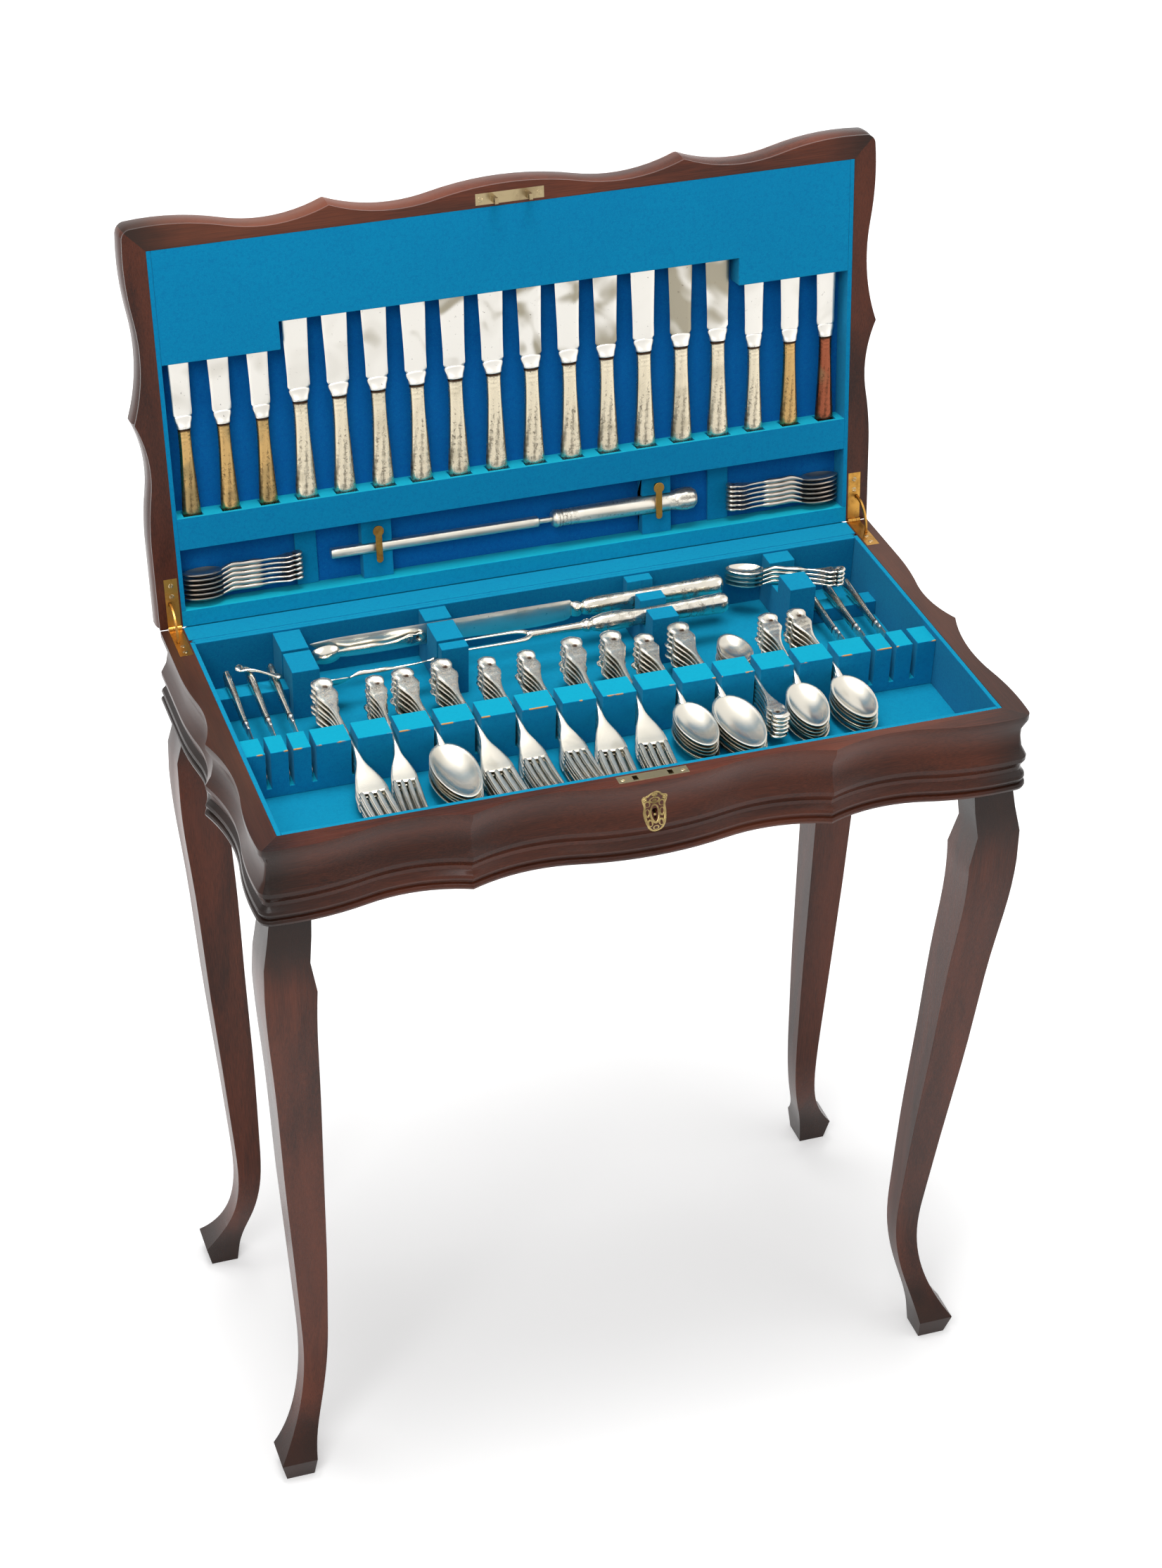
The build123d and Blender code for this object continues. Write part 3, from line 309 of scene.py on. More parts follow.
@shader_group(Vector=None, Dark=(0.04, 0.01, 0.01, 1), Light=(0.2, 0.06, 0.03, 1), Wear=0.3, Shade=0.0)
def wood_figure(tree, vector, dark, light, wear, shade):
    """Mahogany figure: slow bands, fine fibre and short pores, all drawn out along the grain."""
    bands = vector.noise(4.0, 5.0, 0.55, 0.5)
    fibre = vector.stretch(1, 7, 7).noise(34.0, 3.0, 0.6)
    pores = vector.stretch(0.7, 10, 10).noise(80.0, 2.0, 0.5).step(0.60, 0.70)
    dull = vector.noise(1.6, 4.0, 0.6)
    colour = blend(tree, (bands * 0.62 + fibre * 0.38).step(0.30, 0.72), dark, light)
    colour = blend(tree, pores * 0.35, colour, PORE)
    colour = blend(tree, dull.step(0.55, 0.75) * wear, colour, WORN_POLISH)
    # Painted shade and darkened old polish where the Shade mask is high.
    colour = blend(tree, shade, colour, DARK_POLISH_AND_SHADE)
    rough = dull.step(0.4, 0.75) * 0.14 + 0.26
    return colour, rough + pores * 0.1, fibre * 0.4 - pores


@shader_group(("Mask",), Vector=None, Corner=0.0, Knee=0.0, Foot=0.0)
def polish_and_painted_shade(tree, vector, corner, knee, foot):
    """Painted shade and darkened old polish: at the case's corners by x, at the legs' knees and feet by height.
    """
    cloud = (vector.noise(16.0) - 0.5) * 0.05
    wide = vector.part(0).math("ABSOLUTE") + cloud
    high = vector.part(2) + cloud
    leg = (high.step(*KNEE_SHADE) * knee).math("MAXIMUM", high.step(*FOOT_SHADE) * foot)
    return [(wide.step(*CORNER_SHADE) * corner).math("MAXIMUM", leg)]


@shader_group(Vector=None, Colour=(0, 0.2, 0.4, 1), Faded=0.5, Edge_Y=9.0, Edge_Z=9.0)
def felt(tree, vector, colour, lit, edge_y, edge_z):
    """Baize: matted fibres and thin patches, made paler where the object faces up as painted light, and
    rubbed to the wood in places along one edge that runs in X at a given y and z."""
    nap = vector.noise(1100.0, 3.0, 0.7)
    mat = vector.noise(330.0, 4.0, 0.7)
    darker = blend(tree, 1.0, colour, DEEPER, "MULTIPLY")
    paler = blend(tree, 0.22, colour, PALER)
    colour = blend(tree, vector.noise(9.0, 3.0, 0.5).step(0.3, 0.75) * 0.3, colour, darker)
    colour = blend(tree, mat.step(0.42, 0.72) * 0.75, colour, darker)
    colour = blend(tree, nap.step(0.5, 0.7) * 0.4, colour, paler)
    # Painted light: faces that point up at rest are made paler, as if lit from above.
    facing = Wire(tree, add(tree, "ShaderNodeTexCoord").outputs["Normal"]).part(2)
    colour = blend(tree, facing.step(0.75, 0.98) * lit, colour, TOP_LIGHT_BLUE)
    near = vector.part(1).distance(edge_y).math("MAXIMUM", vector.part(2).distance(edge_z))
    rubbed = near.step(1.3 * MM, 0.5 * MM) * vector.noise(42.0, 3.0, 0.6).step(0.53, 0.58)
    colour = blend(tree, rubbed, colour, BARE_WOOD)
    return colour, nap * 0.15 + 0.82, nap * 0.6 + mat * 0.4


@shader_group(Vector=None, Colour=(0.8, 0.8, 0.8, 1), Stain=(0.3, 0.2, 0.1, 1), Amount=0.4, Polish=0.15)
def tarnish(tree, vector, colour, stain, amount, polish):
    """Old metal: clouds of tarnish, flecks and fine scratches along X."""
    speck = vector.noise(420.0, 3.0, 0.6)
    scratch = vector.stretch(1, 14, 14).noise(130.0, 2.0, 0.5)
    mask = vector.noise(45.0, 5.0, 0.65, 0.3).step(0.42, 0.72) * amount
    colour = blend(tree, mask, colour, stain)
    colour = blend(tree, speck.step(0.62, 0.75) * amount, colour, stain)
    return colour, polish + mask * 0.35 + scratch * 0.06, scratch + speck * 0.5


@shader_group(Vector=None, Patina=0.0, Colour=(0.8, 0.8, 0.8, 1), Hollow=(0.05, 0.03, 0.02, 1),
              Blade=(0.5, 0.5, 0.5, 1), Stain=(0.2, 0.15, 0.08, 1), Amount=0.4, Polish=0.15)
def worn_plate(tree, vector, patina, colour, hollow_colour, blade_colour, stain, amount, polish):
    """Worked silver plate: dark hollows and bright ridges from the piece's patina. A patina past BLADE_FROM
    marks plain blades; what it has past BLADE_MARK is their share of tarnish and painted dark reflection."""
    blade = patina.math("GREATER_THAN", BLADE_FROM)
    rest = patina - blade * BLADE_MARK
    hollow = rest * blade.rest()
    blade_reflection = rest * blade
    cloud = vector.noise(24.0, 1.5, 0.5, 0.9)
    speck = vector.noise(300.0, 3.0, 0.65)
    scratch = vector.noise(900.0, 2.0, 0.5)
    colour = blend(tree, blade, colour, blade_colour)
    # On blades the clouds are tarnish and painted dark reflections, grown by each blade's own share.
    tarnish_and_reflection = cloud.step(0.5, 0.72) * amount * (blade * 0.6).rest()
    tarnish_and_reflection = tarnish_and_reflection.math("MAXIMUM", (cloud + blade_reflection).step(0.80, 0.98) * (blade * 0.75))
    colour = blend(tree, tarnish_and_reflection, colour, stain)
    colour = blend(tree, speck.step(0.66, 0.74) * (blade * 0.6), colour, hollow_colour)
    line = vector.noise(210.0, 1.0, 0.5, 0.6).distance(0.5).step(0.045, 0.0) * hollow.step(0.02, 0.3)
    dirt = (hollow + (speck - 0.5) * 0.5).step(0.12, 0.95) * hollow.step(0.0, 0.12)
    dirt = dirt.math("MAXIMUM", line * 0.75)
    colour = blend(tree, dirt, colour, hollow_colour)
    return colour, polish + dirt * 0.3 + blade * 0.1 + tarnish_and_reflection * 0.12, scratch + speck * 1.5


# Materials

def material(name):
    """New node material: its tree, its Principled shader and its object coordinates."""
    made = bpy.data.materials.new(name)
    made.use_nodes = True
    tree = made.node_tree
    place = Wire(tree, tree.nodes.new("ShaderNodeTexCoord").outputs["Object"])
    return made, tree, tree.nodes["Principled BSDF"], place


def dress(tree, shader, group, links, depth, constants):
    """Places a group, joins it to the shader, and sets the shader's constants."""
    node = add(tree, "ShaderNodeGroup", links, node_tree=group)
    bump = add(tree, "ShaderNodeBump", {"Height": node.outputs["Height"], "Strength": 0.5, "Distance": depth})
    joins = {"Base Color": node.outputs["Colour"], "Roughness": node.outputs["Roughness"]}
    for key, value in {**joins, "Normal": bump.outputs[0], **constants}.items():
        plug(tree, shader.inputs[key], value)


def rgba(colour, gain=1.0):
    """Colour with full alpha, made lighter or darker by a gain."""
    return (*[min(1.0, gain * v) for v in colour], 1.0)


def mahogany(name, grain, gain=1.0, wear=0.25, corner=0.0, knee=0.0, foot=0.0, light=None):
    """Polished mahogany with its grain along one axis, which the coordinates are turned to."""
    made, tree, shader, place = material(name)
    turned = place.stretch(*[1 if axis == grain else 7 for axis in "XYZ"])
    quarter = math.pi / 2
    if grain != "X":
        rotation = (0, 0, quarter) if grain == "Y" else (0, quarter, 0)
        turned = turned.feed("ShaderNodeMapping", {"Vector": turned, "Rotation": rotation})
    # Corner, knee and foot set how far painted shade and old polish darken the corners, knees and feet.
    marks = {"Vector": place, "Corner": corner, "Knee": knee, "Foot": foot}
    shade = add(tree, "ShaderNodeGroup", marks, node_tree=polish_and_painted_shade()).outputs["Mask"]
    c = colours()
    links = {"Vector": turned, "Dark": rgba(c.wood_dark, gain), "Light": rgba(light or c.wood_light, gain)}
    links.update(Wear=wear, Shade=shade)
    polish = {"Coat Weight": 0.06, "Coat Roughness": 0.22, "Specular IOR Level": 0.22}
    dress(tree, shader, wood_figure(), links, 0.03 * MM, polish)
    return made


def baize(name, colour, lit=0.35, edge=(FAR_EDGE, FAR_EDGE)):
    """Baize of one colour, paler where it faces up as painted light, and rubbed to the wood along one edge at y
    and z.
    """
    made, tree, shader, place = material(name)
    links = {"Vector": place, "Colour": rgba(colour), "Faded": lit, "Edge_Y": edge[0], "Edge_Z": edge[1]}
    sheen = {"Sheen Weight": 0.15, "Sheen Roughness": 0.5, "Sheen Tint": SHEEN}
    dress(tree, shader, felt(), links, 0.1 * MM, {**sheen, "Specular IOR Level": 0.1})
    return made


def metal(name, colour, stain, amount, polish):
    """Metal with its own tarnish."""
    made, tree, shader, place = material(name)
    links = {"Vector": place, "Colour": rgba(colour), "Stain": rgba(stain), "Amount": amount, "Polish": polish}
    dress(tree, shader, tarnish(), links, 0.015 * MM, {"Metallic": 1.0})
    return made


def plated(name, colour, polish, amount=0.25):
    """Silver plate that reads the patina of its piece."""
    made, tree, shader, place = material(name)
    patina = add(tree, "ShaderNodeAttribute", {}, attribute_name="patina").outputs["Fac"]
    links = {"Vector": place, "Patina": patina, "Colour": rgba(colour), "Hollow": rgba(SOOT),
             "Blade": rgba(BLADE), "Stain": rgba(TARNISH_AND_REFLECTION), "Amount": amount, "Polish": polish}
    dress(tree, shader, worn_plate(), links, 0.02 * MM, {"Metallic": 1.0})
    return made


# Pieces that keep the modelled form

def placed(name, data):
    """New object of the scene."""
    made = bpy.data.objects.new(name, data)
    bpy.context.scene.collection.objects.link(made)
    return made


def softened(node, finish, round_width, body, slot_name):
    """Copy of a modelled piece with its flats merged and its sharp edges rounded by a narrow bevel."""
    mesh = frame["nodes"][node].data.copy()
    made = placed(node + "_finished", mesh)
    work = bmesh.new()
    work.from_mesh(mesh)
    bmesh.ops.remove_doubles(work, verts=work.verts, dist=0.002 * MM)
    bmesh.ops.dissolve_limit(work, angle_limit=FLAT_ANGLE, verts=work.verts, edges=work.edges)
    for face in work.faces:
        face.smooth = True
    work.to_mesh(mesh)
    work.free()
    if mesh.has_custom_normals:
        with bpy.context.temp_override(object=made, active_object=made, selected_objects=[made]):
            bpy.ops.mesh.customdata_custom_splitnormals_clear()
    mesh.set_sharp_from_angle(angle=sizes().smooth_angle)
    mesh.materials.clear()
    mesh.materials.append(finish)
    bevel = made.modifiers.new("rounded_edges", "BEVEL")
    bevel.width = round_width
    bevel.segments = 2
    bevel.limit_method = "ANGLE"
    bevel.angle_limit = BEVEL_ANGLE
    bevel.harden_normals = True
    bevel.use_clamp_overlap = True
    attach(made, body)
    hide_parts(node)
    return made


def finish_all(slot_name, round_width, finish, *names):
    """Softened copies of several pieces in one finish, each on the body that carries the piece."""
    for name in names:
        softened(name, finish, round_width, frame["nodes"][name]["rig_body"], slot_name)


# Surfaces

def smooth_line(x, y, at):
    """Cubic line through the values y at x; its slope at each is that of the chord round it."""
    slope = np.gradient(y, x)
    k = np.clip(np.searchsorted(x, at) - 1, 0, len(x) - 2)
    width = x[k + 1] - x[k]
    t = (at - x[k]) / width
    start = (1 + 2 * t) * (1 - t) ** 2 * y[k] + t * (1 - t) ** 2 * width * slope[k]
    return start + t * t * (3 - 2 * t) * y[k + 1] + t * t * (t - 1) * width * slope[k + 1]


def smooth_step(low, high, value):
    """0 below low, 1 above high, and 3 t squared less 2 t cubed between."""
    t = np.clip((value - low) / (high - low), 0, 1)
    return t * t * (3 - 2 * t)


def span(value, low, rise, fall, high):
    """0 outside low and high, 1 from rise to fall, with a smooth step at each side."""
    return smooth_step(low, rise, value) * smooth_step(high, fall, value)


def bell(value, middle, width):
    """Bell curve: e to the power of less the square of the distance from the middle over the width."""
    return np.exp(-((value - middle) / width) ** 2)


def circle(count):
    """Angles of points spread evenly round a circle."""
    return np.linspace(0, 2 * math.pi, count, endpoint=False)


def bands(first, second, ring):
    """Quads between rings of points, from the numbers of each pair's first points."""
    here = np.arange(ring)
    after = (here + 1) % ring
    low, high = first[:, None], second[:, None]
    return np.stack([low + here, low + after, high + after, high + here], -1).reshape(-1, 4)


def skin(grid, shade=None):
    """Closed skin over rows of rings: each row joins the next, and each end closes on its middle."""
    rows, ring = grid.shape[:2]
    shade = np.zeros((rows, ring)) if shade is None else shade
    points = np.vstack([grid.reshape(-1, 3), grid[0].mean(0), grid[-1].mean(0)])
    tint = np.append(shade.ravel(), [shade[0].mean(), shade[-1].mean()])
    here = np.arange(ring)
    after = (here + 1) % ring
    row = np.arange(rows - 1) * ring
    last = (rows - 1) * ring
    first_cap = np.stack([after, here, np.full(ring, rows * ring)], -1)
    last_cap = np.stack([last + here, last + after, np.full(ring, rows * ring + 1)], -1)
    return points, bands(row, row + ring, ring), np.vstack([first_cap, last_cap]), tint


def joined(skins):
    """Several skins as one set of points and faces."""
    points, quads, tris, tint = [], [], [], []
    total = 0
    for p, q, t, s in skins:
        points.append(p)
        quads.append(q + total)
        tris.append(t + total)
        tint.append(s)
        total += len(p)
    return np.vstack(points), np.vstack(quads), np.vstack(tris), np.concatenate(tint)


def moved(shape, matrix):
    """Skin carried by a 4 by 4 matrix."""
    points, *rest = shape
    return points @ matrix[:3, :3].T + matrix[:3, 3], *rest


def tinted(shape, tint, least=0.0):
    """Skin whose patina is raised by a tint where it is no less than a given value."""
    points, quads, tris, patina = shape
    return points, quads, tris, patina + tint * (patina >= least)


def piece(name, shape, finish, body, slot_name, *nodes):
    """Object in metres from a skin in case millimetres, with its shade kept as a point attribute."""
    points, quads, tris, shade = shape
    mesh = bpy.data.meshes.new(name)
    mesh.vertices.add(len(points))
    mesh.vertices.foreach_set("co", ((points + CASE_SHIFT) * MM).ravel())
    mesh.loops.add(quads.size + tris.size)
    mesh.loops.foreach_set("vertex_index", np.concatenate([quads.ravel(), tris.ravel()]))
    mesh.polygons.add(len(quads) + len(tris))
    starts = np.concatenate([np.arange(len(quads)) * 4, quads.size + np.arange(len(tris)) * 3])
    mesh.polygons.foreach_set("loop_start", starts)
    mesh.update(calc_edges=True)
    mesh.validate()
    layer = mesh.attributes.new("patina", "FLOAT", "POINT")
    layer.data.foreach_set("value", shade)
    made = placed(name, mesh)
    work = bmesh.new()
    work.from_mesh(mesh)
    bmesh.ops.recalc_face_normals(work, faces=work.faces)
    work.to_mesh(mesh)
    work.free()
    mesh.set_sharp_from_angle(angle=SHARP_ANGLE)
    mesh.materials.append(finish)
    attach(made, body)
    if nodes:
        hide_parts(*nodes)
    return made


# Places

def shift(x, y, z):
    """Matrix that moves by x, y, z."""
    made = np.eye(4)
    made[:3, 3] = x, y, z
    return made


def turn(axis, degrees):
    """Matrix that turns about an axis, 0 for X, 1 for Y and 2 for Z."""
    a = math.radians(degrees)
    i, j = (axis + 1) % 3, (axis + 2) % 3
    made = np.eye(4)
    made[i, i] = made[j, j] = math.cos(a)
    made[i, j], made[j, i] = -math.sin(a), math.sin(a)
    return made


SWING = shift(0, CASE_BACK, 0) @ turn(0, -OPEN_ANGLE) @ shift(0, -CASE_BACK, 0)


def in_lid(x, height, depth):
    """Place in the open lid, by height from the hinge and depth from the rim."""
    return SWING @ shift(x, CASE_BACK - height, depth) @ turn(2, 180)


def both_sides(rows):
    """Rows of numbers that start with an x, and after them those off the middle with x turned over."""
    return rows + [(-row[0], *row[1:]) for row in rows if row[0]]


# Flatware

def ribbon(stations, rows, ring, relief=None, power=0.62, rounding=(0.6, 0.6)):
    """Bar along Y through (y, half width, low, high): x is half width times cos v, z the middle of low
    and high plus half the thickness times a power of sin v, plus a relief of height over y and x."""
    at, wide, low, high = np.array(stations, float).T
    u = (1 - np.cos(np.linspace(0, math.pi, rows))) / 2 * 0.35 + np.linspace(0, 1, rows) * 0.65
    y = at[0] + (at[-1] - at[0]) * u
    half, middle, thick = [smooth_line(at, values, y) for values in (wide, (low + high) / 2, high - low)]
    reach = np.maximum(half, 0.8)
    ends = np.minimum((y - at[0]) / (rounding[0] * reach), (at[-1] - y) / (rounding[1] * reach))
    closing = np.sqrt(1 - (1 - np.clip(ends, 0, 1)) ** 2 * 0.97)
    v = circle(ring)
    across, side = np.cos(v), np.sign(np.sin(v)) * np.abs(np.sin(v)) ** power
    x = (half * closing)[:, None] * across
    z = middle[:, None] + 0.5 * (thick * (0.35 + 0.65 * closing))[:, None] * side
    shade = np.zeros_like(x)
    if relief:
        height, shade = relief(y[:, None] + 0 * x, x, half[:, None] + 0 * x)
        z = z + height * np.sign(side) * np.abs(side)
    return skin(np.stack([x, y[:, None] + 0 * x, z], -1), shade)


def even(*stations):
    """Stations of a bar as deep below its middle as above it, from (y, half width, half depth)."""
    return [(y, half, -deep, deep) for y, half, deep in stations]


def ornament(length):
    """Relief of a shaped handle: a thick shell lobe round the end with a dark hollow under it, a thread
    inside the edge, and leaves that run down to the stem. Height and patina come from bell curves of
    the distance to each line, and the leaves from a product of cosines along and across the handle."""
    def relief(y, x, half):
        share, side = y / length, x / half
        edge = np.abs(side)
        worked = smooth_step(0.5, 0.62, share)
        away = np.hypot(x - 0.012 * length, y - 0.865 * length) / length
        lobe = bell(away, 0.092, 0.034) * smooth_step(0.80, 0.88, share)
        pit = bell(x, 0.02 * length, 0.035 * length) * bell(share, 0.855, 0.032)
        ribs = np.cos(9 * np.arctan2(x, y - 0.84 * length)) * lobe
        thread = bell(edge, 0.74, 0.16) * worked * smooth_step(0.86, 0.8, share)
        leaf = np.cos(31 * share + 2.1 * edge) * np.cos(57 * share - 1.7 * side)
        leaf = leaf * worked * smooth_step(0.84, 0.78, share)
        height = 1.1 * lobe + 0.16 * ribs - 0.8 * pit + 0.35 * thread + 0.2 * leaf - 0.2 * worked
        groove = np.clip(0.3 - lobe - thread + 0.35 * leaf, 0, 1) * worked
        return height, np.clip(0.75 * groove + 0.9 * pit, 0, 1)
    return relief


def handle_stations(length, width):
    """Shaped handle from its neck at the origin: slim stem, scroll shoulders and a broad scalloped end."""
    shares = [(0.3, 0.1, 0.5, 3.5), (0.46, 0.12, 1.0, 3.4), (0.56, 0.2, 1.3, 3.5), (0.66, 0.34, 1.5, 3.7),
              (0.745, 0.45, 1.9, 4.1), (0.80, 0.41, 2.1, 4.3), (0.835, 0.36, 2.3, 4.5), (0.88, 0.43, 2.5, 4.7),
              (0.93, 0.44, 2.8, 5.0), (0.975, 0.36, 3.0, 5.2), (1.0, 0.2, 3.2, 5.0)]
    stem = [(y, 2.3, 0, 4.2) for y in (-13.5, 0, 13.5)]
    return stem + [(share * length, half * width, low, high) for share, half, low, high in shares]


def fork(length, head, width):
    """Four-tined fork: one ribbon for handle and shoulders, and a tapering ribbon for each tine."""
    half = width / 2
    root = 0.52 * head
    neck = [(-root - 2, 0.97 * half, -4.7, -3.1), (-root, half, -4.6, -3.0),
            (-0.44 * head, 0.98 * half, -4.3, -2.5), (-0.34 * head, 0.74 * half, -3.3, -1.3),
            (-22, 3.0, -1.0, 1.8), (-18, 2.5, -0.2, 3.0)]
    body = ribbon(neck + handle_stations(length, 0.85 * width), 78, 20, ornament(length), 0.62, (0.08, 0.6))
    tine = width / (TINES + 0.75 * (TINES - 1))
    rows = [(-head, 0.22 * tine, 1.1, 1.9), (-0.94 * head, 0.3 * tine, -0.3, 0.9),
            (-0.8 * head, 0.42 * tine, -2.7, -1.2), (-0.65 * head, 0.5 * tine, -4.2, -2.6),
            (-0.5 * head, 0.5 * tine, -4.5, -3.0)]
    first = -half + tine / 2
    tines = [moved(ribbon(rows, 16, 10), shift(first + 1.75 * tine * k, 0, 0)) for k in range(TINES)]
    return joined([body, *tines])


def bowl(length, width, deep):
    """Egg-shaped bowl, wider towards the neck: a section from the middle of the inside over the rim to
    the middle of the outside, its depth falling as 1 less a power of the distance from the middle."""
    out = np.linspace(0, 1, 13)
    inner = np.stack([out, BOWL_WALL - deep * (1 - out ** 2.3)], -1)
    outer = np.stack([out, -deep * (1 - out ** 2.3)], -1)[::-1]
    inner[-1] = 0.975, 0.1
    outer[0] = 1.0, -0.45
    section = np.vstack([inner, [[1.0, -0.02]], outer])
    section[0, 0] = section[-1, 0] = 0.004
    a = circle(30)
    x = section[:, :1] * width / 2 * np.sin(a) * (1 + 0.1 * np.cos(a))
    y = section[:, :1] * length / 2 * np.cos(a)
    return skin(np.stack([x, y, section[:, 1:] + 0 * x], -1))


def spoon(length, bowl_length, width, deep):
    """Spoon: a ribbon for the handle that runs into the heel of its bowl."""
    heel = [(-BOWL_START - 9, 1.6, -3.2, -1.7), (-BOWL_START - 4, 3.0, -1.9, 0.0), (-17.5, 2.6, -0.4, 2.6)]
    stem = ribbon(heel + handle_stations(length, 0.5 * width + 3), 70, 20, ornament(length))
    cup = moved(bowl(bowl_length, width, deep), shift(0, -BOWL_START - bowl_length / 2, BOWL_RIM))
    return joined([stem, cup])


def knife_ornament(length):
    """Relief of a knife's grip: threads up both sides, a fan at the butt, long leaves and fine scrolls
    above it, rings at the ferrule and a dark line below the collar. Threads are bell curves, and leaves
    and scrolls are cosines along and across."""
    def relief(y, x, half):
        share, side = y / length, x / half
        above = smooth_step(0.1, 0.16, share)
        thread = bell(np.abs(side), 0.62, 0.15)
        fan = np.cos(9 * np.arctan2(x, y + 0.07 * length)) * smooth_step(0.2, 0.12, share)
        scroll = np.cos(61 * share + 2.4 * side) * np.cos(43 * share - 3.1 * side)
        scroll = scroll * above * smooth_step(0.62, 0.4, share)
        rings = np.cos(2 * math.pi * (share - 0.86) * 26) * smooth_step(0.86, 0.88, share)
        leaf = np.cos(2.6 * math.pi * side + 9 * share) * above
        height = 0.35 * thread + 0.12 * fan + 0.1 * scroll + 0.16 * leaf + 0.18 * rings
        groove = np.clip(0.25 - 0.15 * thread - 0.15 * scroll - 0.35 * leaf, 0, 1)
        groove = groove * (0.3 + 0.7 * smooth_step(0.75, 0.45, share))
        return height, np.maximum(groove, 0.95 * smooth_step(0.955, 0.98, share))
    return relief


def knife(length, half, thickness, blade_length, blade_width):
    """Knife along +Y from its butt: a full worked grip, a flared bright shoulder and a straight blade."""
    t, b, end = thickness / 2, blade_width / 2, length + blade_length
    grip = even((0, 0.62 * half, 0.6 * t), (2, 0.9 * half, 0.85 * t), (0.1 * length, half, t),
                (0.3 * length, 0.93 * half, 0.95 * t), (0.55 * length, 0.8 * half, 0.85 * t),
                (0.8 * length, 0.7 * half, 0.76 * t), (length, 0.7 * half, 0.72 * t))
    collar = even((length - 1, 0.78 * half, 0.74 * t), (length + 1, 0.8 * half, 0.76 * t),
                  (length + 3, 0.80 * b, 0.6 * t), (length + 7, 0.92 * b, 2.2), (length + 11, 0.92 * b, 1.5))
    blade = even((length + 5, 0.8 * b, 0.8), (length + 9, 0.88 * b, 0.9), (length + 12, b, 0.9),
                 (length + 18, b, 0.9), (end - 14, b, 0.8), (end - 5, 0.9 * b, 0.6), (end, 0.4 * b, 0.3))
    return joined([ribbon(grip, 60, 26, knife_ornament(length), 0.8, (0.6, 0.1)),
                   tinted(ribbon(collar, 16, 20, None, 0.75, (0.1, 0.2)), COLLAR_MARK),
                   tinted(ribbon(blade, 26, 14, None, 0.3), BLADE_MARK)])


def lathe(profile, rows, ring, power=1.0, relief=None):
    """Turned shape along Y through (y, radius): x and z are the radius times a power of cos v and sin v."""
    y = np.linspace(profile[0][0], profile[-1][0], rows)
    y = np.unique(np.concatenate([y, [p[0] for p in profile]]))
    radius = np.interp(y, *np.array(profile, float).T)[:, None]
    v = circle(ring)
    shade = np.zeros((len(y), ring))
    if relief:
        height, shade = relief(y[:, None] + 0 * v, v + 0 * y[:, None])
        radius = radius + height
    x = radius * np.sign(np.cos(v)) * np.abs(np.cos(v)) ** power
    z = radius * np.sign(np.sin(v)) * np.abs(np.sin(v)) ** power
    return skin(np.stack([x, y[:, None] + 0 * x, z], -1), shade)


def steel():
    """Sharpening steel along Y: a square rod, a thin neck, and a turned handle with a ribbed collar, long
    leaves and a shell knob, their relief cosines along and round the handle."""
    rod = lathe([(0, 3.9), (1, 4.6), (196, 4.6), (198, 2.4), (211, 2.4)], 30, 16, 0.55)
    handle = [(209, 2.0), (210, 6.4), (213, 8.4), (216, 8.1), (219, 7.5), (232, 7.7), (250, 8.1), (290, 8.4),
              (322, 8.2), (327, 8.6), (333, 10.0), (340, 10.8), (346, 9.9), (350, 6.8), (352, 0.6)]

    def relief(y, v):
        rings = np.cos(2 * math.pi * y / 3.4) * span(y, 214, 216, 228, 230)
        leaves = np.abs(np.cos(2 * v + 0.02 * y)) * span(y, 232, 236, 318, 326)
        shell = np.cos(8 * v) * span(y, 330, 334, 347, 351)
        height = 0.25 * rings + 0.5 * (leaves - 0.6) * span(y, 232, 240, 316, 326) + 0.35 * shell
        return height, np.clip(0.25 - 0.4 * (rings + leaves + shell), 0, 1) * smooth_step(214, 216, y)
    return joined([rod, lathe(handle, 90, 36, 1.0, relief)])


def grip_relief(butt, length, beading, base, dark):
    """Relief of a carving grip: leaves from a product of cosines along and across it, and beading along
    both sides, all fading at its ends."""
    def relief(y, x, half):
        share, side = (butt - y) / length, x / half
        worked = span(share, 0.02, 0.06, 0.94, 1.0)
        leaf = np.cos(47 * share + 2.3 * side) * np.cos(29 * share - 2.9 * side)
        bead = beading * bell(np.abs(side), 0.6, 0.16)
        return (0.3 * leaf + 0.35 * bead) * worked, dark * np.clip(base - 0.5 * leaf - bead, 0, 1) * worked
    return relief


def carving_knife():
    """Carving knife along Y from its point: a blade of lens section and a ribbed grip with a cap."""
    blade = [(0, 0.5, 6.5, 8.0), (9, 0.9, -0.5, 9.0), (27, 1.15, -10.6, 10.0), (32, 1.2, -11, 10.0),
             (120, 1.25, -11, 10.0), (236, 1.25, -11, 10.0), (241, 1.25, -10.4, 10.0), (248, 1.2, -7, 10.0)]
    bolster = [(244, 2.6, -6.5, 7.0), (247, 5.4, -7.2, 7.4), (250, 6.2, -7.4, 7.4), (256, 5.2, -6.2, 6.2)]
    grip = even((254, 5.6, 6.4), (262, 6.8, 7.6), (300, 7.2, 8.6), (357, 7.9, 9.6), (380, 8.8, 10.6),
                (388, 8.6, 10.6), (393, 6.2, 8.0))
    return joined([tinted(ribbon(blade, 40, 14, None, 0.8, (2, 0.2)), BLADE_MARK), ribbon(bolster, 14, 18),
                   ribbon(grip, 56, 24, grip_relief(393, 139, 1.0, 0.3, 0.7), 0.85)])


